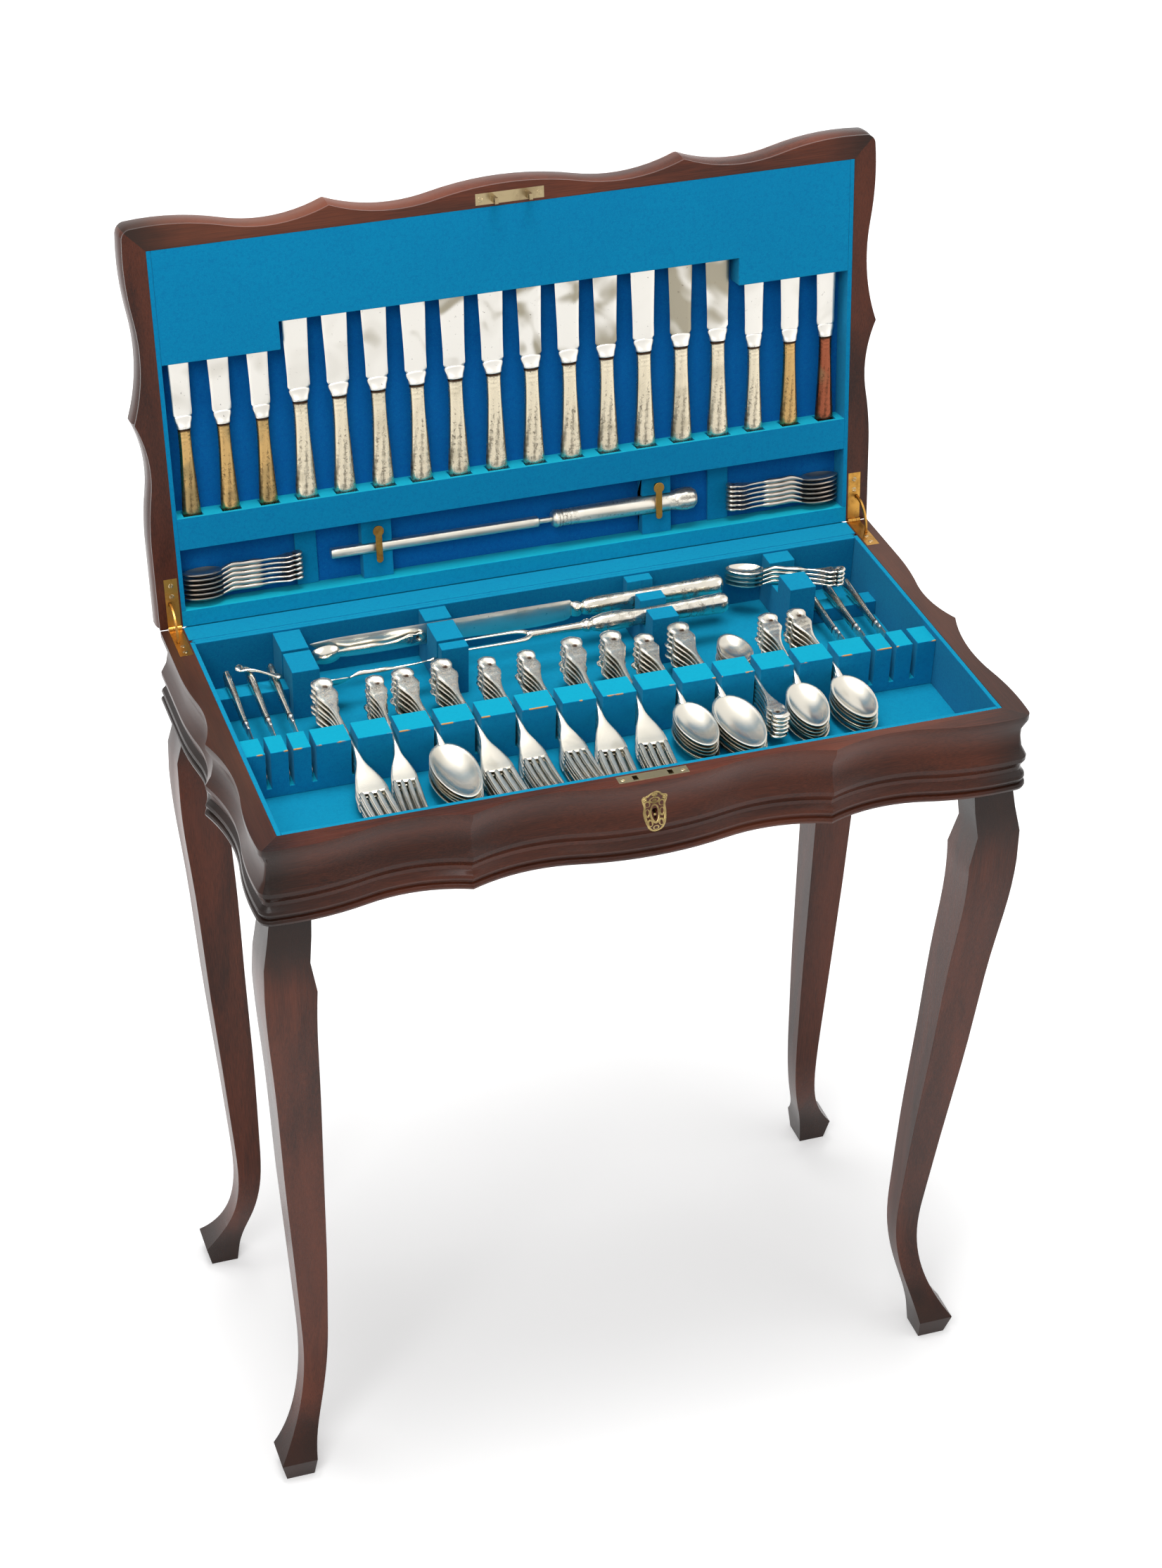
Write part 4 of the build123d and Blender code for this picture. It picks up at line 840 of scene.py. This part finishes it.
def carving_fork():
    """Carving fork along Y from its tips: two curved prongs joined by an arch, a stem and a worked grip."""
    steps = np.arange(7.0)
    y = np.array([0, 12, 42, 56, 63, 67, 69.5])
    x = np.array([8.0, 8.0, 8.0, 7.8, 6.4, 3.6, 0.0])
    radius = np.array([0.5, 1.1, 1.7, 2.1, 2.5, 2.8, 3.0])

    def prong(side):
        s = np.linspace(0, 6, 34)
        along_x, along_y = [smooth_line(steps, values, s) for values in (x, y)]
        centre = np.stack([side * along_x, along_y, 0 * s], -1)
        ahead = np.gradient(centre, axis=0)
        ahead /= np.linalg.norm(ahead, axis=1)[:, None]
        across = np.cross(ahead, [0, 0, 1.0])
        v = circle(12)[:, None]
        r = np.interp(s, steps, radius)[:, None, None]
        return skin(centre[:, None] + r * (across[:, None] * np.cos(v) + np.array([0, 0, 0.72]) * np.sin(v)))

    stem = [(66, 3.0), (70, 3.6), (84, 3.0), (118, 3.9), (121, 5.6), (124, 6.0), (127, 4.6)]
    grip = even((125, 4.8, 5.0), (130, 6.0, 6.6), (180, 6.2, 7.6), (222, 6.6, 8.6), (246, 7.2, 9.6),
                (255, 7.0, 9.2), (260, 5.2, 5.4))
    return joined([prong(-1), prong(1), lathe(stem, 24, 18),
                   ribbon(grip, 56, 24, grip_relief(260, 135, 0.0, 0.25, 0.6), 0.85)])


def tube(path, radius, ring=12):
    """Round tube along a closed path of points: each ring stands square to the path."""
    ahead = np.roll(path, -1, 0) - np.roll(path, 1, 0)
    ahead = ahead / np.linalg.norm(ahead, axis=1)[:, None]
    across = np.cross(ahead, [0, 1.0, 0])
    across /= np.linalg.norm(across, axis=1)[:, None]
    other = np.cross(across, ahead)
    v = circle(ring)[:, None]
    grid = path[:, None] + radius * (across[:, None] * np.cos(v) + other[:, None] * np.sin(v))
    row = np.arange(len(path)) * ring
    quads = bands(row, np.roll(row, -1), ring)
    return grid.reshape(-1, 3), quads, np.zeros((0, 3), int), np.zeros(row.size * ring)


WOOD_FACE = [(-54, -171.0), (-50, -172.6), (-46, -174.7), (-42, -174.7), (-33, -170.1), (-23, -168.1)]
WOOD_FACE += [(-16, -168.1), (-11, -170.3), (-8, -171.4)]
SHIELD = [(0, -11), (3.4, -13.6), (6.2, -17.2), (10.2, -18.4), (9.8, -22.5), (8.6, -27), (9.2, -33)]
SHIELD += [(7.8, -40), (4.8, -46), (0, -49)]
RINGS = [(0, -33.2, 3.7, 7.2, 1.3), (6.4, -25.0, 2.3, 2.6, 1.1), (6.5, -32.6, 1.9, 3.1, 1.1)]
RINGS += [(4.9, -40.6, 1.9, 2.3, 1.1), (0, -44.6, 2.2, 1.9, 1.1), (0, -21.5, 4.2, 2.6, 1.2)]
DOMES = [(8.8, -20.2, 2.7, 3.4), (0, -16.0, 3.6, 2.8), (0, -21.6, 3.2, 2.2), (0, -48.2, 2.4, 2.2)]
DOMES += [(8.6, -36.8, 1.5, 2.0)]


def on_face(x, z, lift):
    """Points in front of the moulding, at x and z, raised by a lift."""
    high, out = np.array(WOOD_FACE, float).T
    return np.stack([x, smooth_line(high, out, z) - lift + 0.0024 * x * x, z], -1)


def screw():
    """Slotted screw head facing up, from its top down: rings whose height drops to the slot where their x
    is under SLOT_HALF."""
    r = np.array([0.05, 0.7, 1.4, 2.0, 2.2, 2.2])[:, None]
    z = np.array([0.3, 0.29, 0.24, 0.12, 0.0, -0.3])[:, None]
    v = circle(40)
    x = r * np.sin(v)
    slot = (np.abs(x) < SLOT_HALF) & (r < 2.1)
    return skin(np.stack([x, r * np.cos(v), z - 0.45 * slot], -1), 1.0 * slot)


def keyhole_plate():
    """Pierced keyhole plate: tubes bent to the moulding along the shield's outline, an oval round the
    keyhole and rings in the corners, with domed knobs on its shoulders and a ribbed crest."""
    half = np.array(SHIELD, float)
    outline = np.vstack([half, (half * [-1, 1])[-2:0:-1]])
    closed = np.vstack([outline, outline[:1]])
    t = np.linspace(0, len(outline), 72, endpoint=False)
    x, z = [smooth_line(np.arange(float(len(closed))), values, t) for values in closed.T]
    parts = [tube(on_face(x, z, 1.0), 1.5)]
    a = circle(28)
    for cx, cz, rx, rz, r in both_sides(RINGS):
        parts.append(tube(on_face(cx + rx * np.sin(a), cz + rz * np.cos(a), 1.0), r, 10))
    for cx, cz, size, high in both_sides(DOMES):
        r = np.linspace(0.02, 1, 9)[:, None]
        dome = np.sqrt(np.clip(1 - r ** 2, 0, 1)) * high * (1 + 0.14 * np.cos(7 * a) * r)
        top = on_face(cx + size * r * np.sin(a), cz + size * r * np.cos(a), 0)
        top[..., 1] -= dome
        parts.append(skin(top))
    pin = lathe([(0, 1.5), (6.4, 1.5), (7.0, 0.9), (7.1, 0.1)], 6, 14)
    return joined(parts + [moved(pin, shift(*PLATE_PIN) @ turn(2, 180))])


class CANTEEN_OT_case_wood(bpy.types.Operator):
    """Rails, mouldings and boards of the case in polished mahogany."""

    bl_idname = "canteen.case_wood"
    bl_label = "Case woodwork"

    def execute(self, context):
        wide = sizes().edge_round
        cover = functools.partial(finish_all, "mahogany")
        # Painted shade and old polish darken the corners of the front and the bead. The side rails lie past the
        # corner limits and have a lower gain, so they are darker all over as painted shade.
        cover(wide, mahogany("mahogany_front", "X", corner=0.85), "rail_front")
        cover(wide, mahogany("mahogany_side", "Y", 0.9, corner=0.5), "rail_left", "rail_right")
        cover(wide / 2, mahogany("mahogany_bead", "X", 0.85, corner=0.85), "base_beads")
        cover(wide, mahogany("mahogany_back", "X", 0.8, 0.1), "rail_back", *UNDERSIDE)
        return {"FINISHED"}


class CANTEEN_OT_legs(bpy.types.Operator):
    """Four square cabriole legs, darker at knee and foot with painted shade and old polish."""

    bl_idname = "canteen.legs"
    bl_label = "Legs"

    def execute(self, context):
        # Painted shade and old polish darken the knees and feet.
        darkened_leg = mahogany("mahogany_leg", "Z", 1.1, 0.1, knee=0.85, foot=0.8)
        finish_all("mahogany", sizes().leg_round, darkened_leg, *LEGS)
        return {"FINISHED"}


class CANTEEN_OT_lid_wood(bpy.types.Operator):
    """Rails and panel of the lid in polished mahogany, the rails brighter as painted light, the sides darker as
    painted shade and the panel's warm bands a painted highlight.
    """

    bl_idname = "canteen.lid_wood"
    bl_label = "Lid woodwork"

    def execute(self, context):
        cover = functools.partial(finish_all, "mahogany", sizes().edge_round)
        # Painted light: the lid's rails are brighter by their gain; painted shade and old polish darken their
        # corners.
        cover(mahogany("mahogany_lid_rail", "X", 1.15, corner=0.85), "lid_rail_front", "lid_rail_back")
        # Painted shade: the lid's sides are darker by their gain.
        cover(mahogany("mahogany_lid_side", "Z", 0.9), "lid_rail_left", "lid_rail_right")
        # Painted highlight: the panel's outer moulding in warm light bands.
        cover(mahogany("mahogany_lid_panel", "X", 1.0, 0.35, corner=0.6, light=WARM_HIGHLIGHT_WOOD), "lid_panel")
        return {"FINISHED"}


class CANTEEN_OT_linings(bpy.types.Operator):
    """Linings, racks and rests covered in blue baize, and baize strips in the gaps at the back that keep them
    dark as painted shade.
    """

    bl_idname = "canteen.linings"
    bl_label = "Baize linings"

    def execute(self, context):
        c = colours()
        cover = functools.partial(finish_all, "baize", sizes().edge_round)
        edge = [(at + by) * MM for at, by in zip(RACK_EDGE, CASE_SHIFT[1:])]
        # Painted shade: the tray's linings, rests and ledges in the darker baize.
        plain = baize("baize_case", c.baize_case, 0.2)
        cover(plain, *CASE_BAIZE)
        cover(baize("baize_rack", c.baize, 0.5, edge), "fork_rack")
        cover(baize("baize_lid", c.baize, 0.55), *LID_BAIZE)
        # Painted shade: the lid's recess in the darker baize.
        cover(baize("baize_recess", c.baize_recess_shade), "lid_lining")
        # Painted light: the ledge, which faces up, in the paler baize and with the most top light.
        cover(baize("baize_ledge", c.baize_lit_ledge, 0.6), "lid_back_baize")
        # Painted shade: strips in the gaps at the back keep them dark.
        for name, y, z, half, thick in SHADE_STRIPS:
            ends = even((-LINED_HALF, half, thick / 2), (LINED_HALF, half, thick / 2))
            strip = ribbon(ends, 160, 12, None, 0.3)
            piece(name, moved(strip, shift(0, y, z) @ turn(2, 90)), plain, "case", "baize")
        return {"FINISHED"}


class CANTEEN_OT_brasswork(bpy.types.Operator):
    """Hinges, stays, lock, clips, screws and the pierced keyhole plate in old brass."""

    bl_idname = "canteen.brasswork"
    bl_label = "Brasswork"

    def execute(self, context):
        golden = metal("golden_brass", colours().brass, BRASS_STAIN, 0.7, 0.28)
        pale = metal("pale_brass", colours().lock_brass, LOCK_STAIN, 0.45, 0.26)
        finish_all("brass", sizes().metal_round, golden, *BRASSWORK)
        finish_all("brass", sizes().metal_round, pale, *LOCKWORK)
        olive = metal("keyhole_brass", KEYHOLE_BRASS, KEYHOLE_STAIN, 0.8, 0.24)
        piece("keyhole_plate", keyhole_plate(), olive, "case", "brass", "escutcheon")
        low, high = [], []
        for k, (x, y, slot) in enumerate(SCREWS):
            low.append(moved(screw(), shift(x, y, -RIM_GAP) @ turn(2, slot)))
            above = in_lid(x, CASE_BACK - y, RIM_GAP) @ turn(1, 180)
            high.append(moved(screw(), above @ turn(2, 30 * k)))
        piece("case_screws", joined(low), pale, "case", "brass")
        piece("lid_screws", joined(high), pale, "lid", "brass")
        return {"FINISHED"}


STACKS = [(-6, "table_fork", -3), (-5, "dessert_fork", 4), (-4, "table_spoon", -4), (-3, "table_fork", -4)]
STACKS += [(-2, "dessert_fork", -2), (-1, "dessert_fork", -2), (0, "table_fork", 4), (1, "table_fork", 4)]
STACKS += [(2, "dessert_spoon", -3), (3, "table_spoon", -4), (4, "small_spoon", 180), (5, "dessert_spoon", 4)]
STACKS += [(6, "dessert_spoon", -4)]
KINDS = {"table_fork": (fork, 88, 118, 26), "dessert_fork": (fork, 80, 104, 22)}
KINDS.update(table_spoon=(spoon, 84, 74, 40, 6.5), dessert_spoon=(spoon, 76, 62, 35, 6))
KINDS.update(small_spoon=(spoon, 74, 46, 30, 6))
HOME = {"table_fork": "forks", "dessert_fork": "forks", "small_spoon": "small_spoons"}


class CANTEEN_OT_stacks(bpy.types.Operator):
    """Thirteen stacks of forks and spoons in the rack, each piece tipped a little more than the last."""

    bl_idname = "canteen.stacks"
    bl_label = "Stacks of forks and spoons"

    def execute(self, context):
        shapes = {kind: make(*measures) for kind, (make, *measures) in KINDS.items()}
        silver = plated("silver_stack", colours().silver, 0.23)
        for slot, kind, turned in STACKS:
            skins = []
            for k in range(STACK_SIZE):
                first, more = STACK_LEAN if abs(turned) < 90 else TURNED_LEAN
                place = shift(slot * SLOT_PITCH, STACK_NECK[0], STACK_NECK[1] + STACK_STEP * k)
                spread = STACK_SPREAD * math.sin(2.4 * k + slot) * (STACK_SIZE - 1 - k) / STACK_SIZE
                skins.append(moved(shapes[kind], place @ turn(2, spread - turned) @ turn(0, first + more * k)))
            name = "stack_%02d_%s" % (slot + 7, kind)
            piece(name, joined(skins), silver, "case", "silver", HOME.get(kind, "spoons"))
        return {"FINISHED"}


TEASPOON = (54, 37, 20, 5)
CONDIMENT_SPOON = (60.4, 30, 19, 5)
TABLE_KNIFE = (98, 9.6, 12.5, 135, 20)
DESSERT_KNIFE = (88, 8.2, 11.5, 125, 17)
SMALL_KNIFE = (74, 6, 7, 75, 11)
KNIFE_FIRST = -195.0
KNIFE_PITCH = 35.45
KNIFE_SEAT = 91.3
KNIFE_DEPTH = 11.8
SIDE_KNIVES = {"left": (-230.0, -265.0, -300.0), "right": (230.0,)}
SIDE_KNIVES.update(middle_right=(265.0,), far_right=(300.0,))
# Each table knife's share of tarnish and painted dark reflections on its blade.
TABLE_BLADE_REFLECTIONS = (0.0, 0.12, 0.16, 0.28, 0.26, 0.2, 0.38, 0.34, 0.42, 0.1, 0.48, 0.32)
STEEL_AT = (-177.0, 139.5, 12.4)
LID_SPOON_X = 257.4
LID_SPOON_H = 22.6
LID_SPOON_DEPTH = 11.4
CARVING_KNIFE_AT = (-217, 129.2, -13)
CARVING_FORK_AT = (-90, 98.5, -13)
SMALL_KNIFE_X = (256.0, 276.0, 296.0)
SMALL_KNIFE_LEAN = {-1: 7.0, 1: 2.5}
SMALL_KNIFE_LONG = sum(SMALL_KNIFE[::3])
SMALL_KNIFE_TIP = (-24, -35.2)
SMALL_KNIFE_SUNK = 9.0
TEASPOON_AT = (236, 123, -19.4)
TEASPOON_TURN = -112
TEASPOON_COUNT = 4
CONDIMENT_AT = ((-170.2, 122, -14.5, -90), (-170.2, 90.5, -22, -35))
SALT_SPOON_AT = (-288, 121, -10.3)
SALT_SPOON_TURN = (4, -125)
SALT_SPOON = [(0, 3, -1.2, 1.2), (3, 5, -2, 1.6), (6, 5.4, -2.2, 0.4), (9, 5, -2.2, 1.2), (14, 2.2, -1.2, 1.5)]
SALT_SPOON += [(36, 2.4, -1.2, 1.4), (43, 3.4, -1.3, 1.5), (45, 2, -1, 1)]


class CANTEEN_OT_lid_cutlery(bpy.types.Operator):
    """Table knives, dessert knives, steel and teaspoons held in the lid."""

    bl_idname = "canteen.lid_cutlery"
    bl_label = "Cutlery in the lid"

    def execute(self, context):
        silver = plated("silver_knives", KNIFE_SILVER, 0.24, 0.3)
        gilt = plated("gilt_handles", colours().gilt, 0.24, 0.6)
        red = plated("red_handle", RED_HANDLE, 0.26, 0.6)
        skins = []
        # Each blade's share of tarnish and painted dark reflections rides on its patina.
        for k, blade_reflection in enumerate(TABLE_BLADE_REFLECTIONS):
            place = in_lid(KNIFE_FIRST + k * KNIFE_PITCH, KNIFE_SEAT, KNIFE_DEPTH)
            skins.append(moved(tinted(knife(*TABLE_KNIFE), blade_reflection, BLADE_MARK), place))
        piece("table_knives_worked", joined(skins), silver, "lid", "silver", "table_knives")
        for (side, places), finish in zip(SIDE_KNIVES.items(), (gilt, silver, gilt, red)):
            skins = [moved(knife(*DESSERT_KNIFE), in_lid(x, KNIFE_SEAT, KNIFE_DEPTH)) for x in places]
            piece("dessert_knives_" + side, joined(skins), finish, "lid", "silver", "dessert_knives")
        rod = moved(steel(), SWING @ shift(*STEEL_AT) @ turn(2, -90))
        grey = plated("silver_steel", colours().silver, 0.34, 0.15)
        piece("steel_worked", rod, grey, "lid", "silver", "sharpening_steel")
        skins = []
        for sign in (-1, 1):
            for k in range(STACK_SIZE):
                place = shift(sign * LID_SPOON_X, CASE_BACK - LID_SPOON_H - STACK_STEP * k, LID_SPOON_DEPTH)
                skins.append(moved(spoon(*TEASPOON), SWING @ place @ turn(0, 90) @ turn(2, 90 * sign)))
        bright = plated("silver_teaspoons", SPOON_SILVER, 0.32)
        piece("lid_teaspoons_worked", joined(skins), bright, "lid", "silver", "lid_teaspoons")
        return {"FINISHED"}


class CANTEEN_OT_tray_cutlery(bpy.types.Operator):
    """Carving set, small knives and small spoons behind the rack."""

    bl_idname = "canteen.tray_cutlery"
    bl_label = "Carving set and small pieces"

    def execute(self, context):
        silver = plated("silver_tray", colours().silver, 0.18, 0.35)
        carver = moved(carving_knife(), shift(*CARVING_KNIFE_AT) @ turn(2, -90))
        piece("carving_knife_worked", carver, silver, "case", "silver", "carving_knife")
        large_fork = moved(carving_fork(), shift(*CARVING_FORK_AT) @ turn(2, -90))
        piece("carving_fork_worked", large_fork, silver, "case", "silver", "carving_fork")
        skins = []
        for sign, lean in SMALL_KNIFE_LEAN.items():
            rise = math.radians(lean)
            y = SMALL_KNIFE_TIP[0] + SMALL_KNIFE_LONG * math.cos(rise)
            z = SMALL_KNIFE_TIP[1] + (SMALL_KNIFE_LONG - SMALL_KNIFE_SUNK) * math.sin(rise)
            tilt = turn(0, lean) @ turn(2, 180) @ turn(1, 90)
            skins += [moved(knife(*SMALL_KNIFE), shift(sign * x, y, z) @ tilt) for x in SMALL_KNIFE_X]
        piece("small_knives_worked", joined(skins), silver, "case", "silver", "small_knives")
        places = [shift(*TEASPOON_AT) @ shift(0, 0, STACK_STEP * k) for k in range(TEASPOON_COUNT)]
        skins = [moved(spoon(*TEASPOON), place @ turn(2, TEASPOON_TURN)) for place in places]
        piece("rest_teaspoons", joined(skins), silver, "case", "silver", "small_spoons")
        places = [shift(*at) @ turn(0, roll) @ turn(2, -90) for *at, roll in CONDIMENT_AT]
        skins = [moved(spoon(*CONDIMENT_SPOON), place) for place in places]
        lie, round_z = SALT_SPOON_TURN
        skins.append(moved(ribbon(SALT_SPOON, 30, 16), shift(*SALT_SPOON_AT) @ turn(1, lie) @ turn(2, round_z)))
        piece("condiment_spoons_worked", joined(skins), silver, "case", "silver", "condiment_spoons")
        return {"FINISHED"}


# Stage

CAMERA_AT = (-740.94 * MM, (-2030.38 - 43.29) * MM, 2092.71 * MM)
CAMERA_TURN = -16.053
CAMERA_DROP = 38.675
CAMERA_ROLL = -0.7234
FOCAL_PIXELS = 4119.0
CENTRE_PIXEL = (596.93, 1443.22)
# Painted light: the floor's glow for camera and glossy rays, from the first value near the canteen to the
# second far off, so the floor is darker round the canteen as a painted shadow pool.
FLOOR_GLOW = (0.28, 0.75)
FLOOR_NEAR = 0.35
FLOOR_FAR = 1.7
SKY_LIGHT = 0.36
FLOOR_HALF = 6.0
LAMP_AIM = (0, 0, 0.7)
LAMPS = [("key_lamp", (-1.4, -2.0, 3.0), 40, 1.6), ("top_lamp", (-0.1, 0.1, 3.2), 66, 1.2)]
LAMPS += [("fill_lamp", (2.4, -1.6, 2.0), 12, 2.2)]


def camera():
    """Camera at the photograph's viewing angle, with its lens and framing."""
    data = bpy.data.cameras.new("camera")
    made = placed("camera", data)
    a, e, r = [math.radians(v) for v in (CAMERA_TURN, CAMERA_DROP, CAMERA_ROLL)]
    back = np.array([math.sin(a) * math.cos(e), -math.cos(a) * math.cos(e), math.sin(e)])
    right = np.array([math.cos(a), math.sin(a), 0.0])
    up = np.cross(back, right)
    tilted = right * math.cos(r) + up * math.sin(r)
    raised = np.cross(back, tilted)
    matrix = np.eye(4)
    matrix[:3, 0], matrix[:3, 1], matrix[:3, 2], matrix[:3, 3] = tilted, raised, back, CAMERA_AT
    made.matrix_world = Matrix(matrix.tolist())
    data.sensor_width = 36.0
    data.lens = FOCAL_PIXELS / PHOTO_HEIGHT * data.sensor_width
    data.shift_x = (PHOTO_WIDTH / 2 - CENTRE_PIXEL[0]) / PHOTO_HEIGHT
    data.shift_y = (CENTRE_PIXEL[1] - PHOTO_HEIGHT / 2) / PHOTO_HEIGHT
    data.clip_end = 50.0
    bpy.context.scene.camera = made


def shown(tree):
    """1 for rays that show the studio itself: from the camera, or off metal and glass."""
    rays = tree.nodes.new("ShaderNodeLightPath").outputs
    seen = Wire(tree, rays["Is Camera Ray"]).math("MAXIMUM", rays["Is Glossy Ray"])
    return seen.math("MAXIMUM", rays["Is Transmission Ray"])


def lamp(name, at, power, size):
    """Square soft lamp turned towards the canteen."""
    data = bpy.data.lights.new(name, "AREA")
    data.energy = power
    data.size = size
    made = placed(name, data)
    made.location = at
    made.rotation_euler = (Vector(LAMP_AIM) - Vector(at)).to_track_quat("-Z", "Y").to_euler()


class CANTEEN_OT_stage(bpy.types.Operator):
    """Pale floor that glows as painted light, less round the canteen as painted shade, with soft studio light
    and the camera.
    """

    bl_idname = "canteen.stage"
    bl_label = "Stage"

    def execute(self, context):
        scene = context.scene
        scene.view_settings.view_transform = "Standard"
        camera()
        mesh = bpy.data.meshes.new("floor")
        corners = [(x * FLOOR_HALF, y * FLOOR_HALF, 0) for x, y in ((-1, -1), (1, -1), (1, 1), (-1, 1))]
        mesh.from_pydata(corners, [], [(0, 1, 2, 3)])
        floor = placed("floor", mesh)
        made, tree, shader, place = material("pale_floor")
        # Painted light: the floor glows for rays from the camera or off metal and glass, less near the canteen,
        # which leaves a painted darker pool round it.
        away = add(tree, "ShaderNodeVectorMath", {0: place}, operation="LENGTH").outputs["Value"]
        reach = {"Value": away, "From Min": FLOOR_NEAR, "From Max": FLOOR_FAR}
        reach.update({"To Min": FLOOR_GLOW[0], "To Max": FLOOR_GLOW[1]})
        lift = add(tree, "ShaderNodeMapRange", reach).outputs[0]
        for key, value in {"Base Color": rgba(colours().floor), "Roughness": 0.7, "Specular IOR Level": 0.1,
                           "Emission Color": WHITE, "Emission Strength": shown(tree) * lift}.items():
            plug(tree, shader.inputs[key], value)
        mesh.materials.append(made)
        world = bpy.data.worlds.new("studio")
        scene.world = world
        world.use_nodes = True
        tree = world.node_tree
        sky = tree.nodes["Background"]
        strength = add(tree, "ShaderNodeMapRange", {"Value": shown(tree), "To Min": SKY_LIGHT, "To Max": 1.0})
        sky.inputs["Color"].default_value = WHITE
        tree.links.new(strength.outputs[0], sky.inputs["Strength"])
        for values in LAMPS:
            lamp(*values)
        return {"FINISHED"}


class CANTEEN_PT_panel(bpy.types.Panel):
    """Sidebar panel with every step of the canteen."""

    bl_idname = "CANTEEN_PT_panel"
    bl_label = "Canteen"
    bl_space_type = "VIEW_3D"
    bl_region_type = "UI"
    bl_category = "Canteen"

    def draw(self, context):
        layout = self.layout
        for group in (context.scene.canteen_colours, context.scene.canteen_sizes):
            for key in group.__annotations__:
                layout.prop(group, key)
        for step in STEPS:
            layout.operator(step.bl_idname)


STEPS = (CANTEEN_OT_case_wood, CANTEEN_OT_legs, CANTEEN_OT_lid_wood, CANTEEN_OT_linings)
STEPS += (CANTEEN_OT_brasswork, CANTEEN_OT_stacks, CANTEEN_OT_lid_cutlery, CANTEEN_OT_tray_cutlery)
STEPS += (CANTEEN_OT_stage,)
CLASSES = (CanteenColours, CanteenSizes, *STEPS, CANTEEN_PT_panel)


def register():
    """Registers the classes and the two sets of values."""
    for item in CLASSES:
        bpy.utils.register_class(item)
    bpy.types.Scene.canteen_colours = bpy.props.PointerProperty(type=CanteenColours)
    bpy.types.Scene.canteen_sizes = bpy.props.PointerProperty(type=CanteenSizes)


def unregister():
    """Takes the classes and values out again."""
    del bpy.types.Scene.canteen_sizes
    del bpy.types.Scene.canteen_colours
    for item in reversed(CLASSES):
        bpy.utils.unregister_class(item)


def main():
    """Runs every step in order."""
    register()
    bpy.ops.canteen.case_wood()
    bpy.ops.canteen.legs()
    bpy.ops.canteen.lid_wood()
    bpy.ops.canteen.linings()
    bpy.ops.canteen.brasswork()
    bpy.ops.canteen.stacks()
    bpy.ops.canteen.lid_cutlery()
    bpy.ops.canteen.tray_cutlery()
    bpy.ops.canteen.stage()


if __name__ == "__main__":
    main()
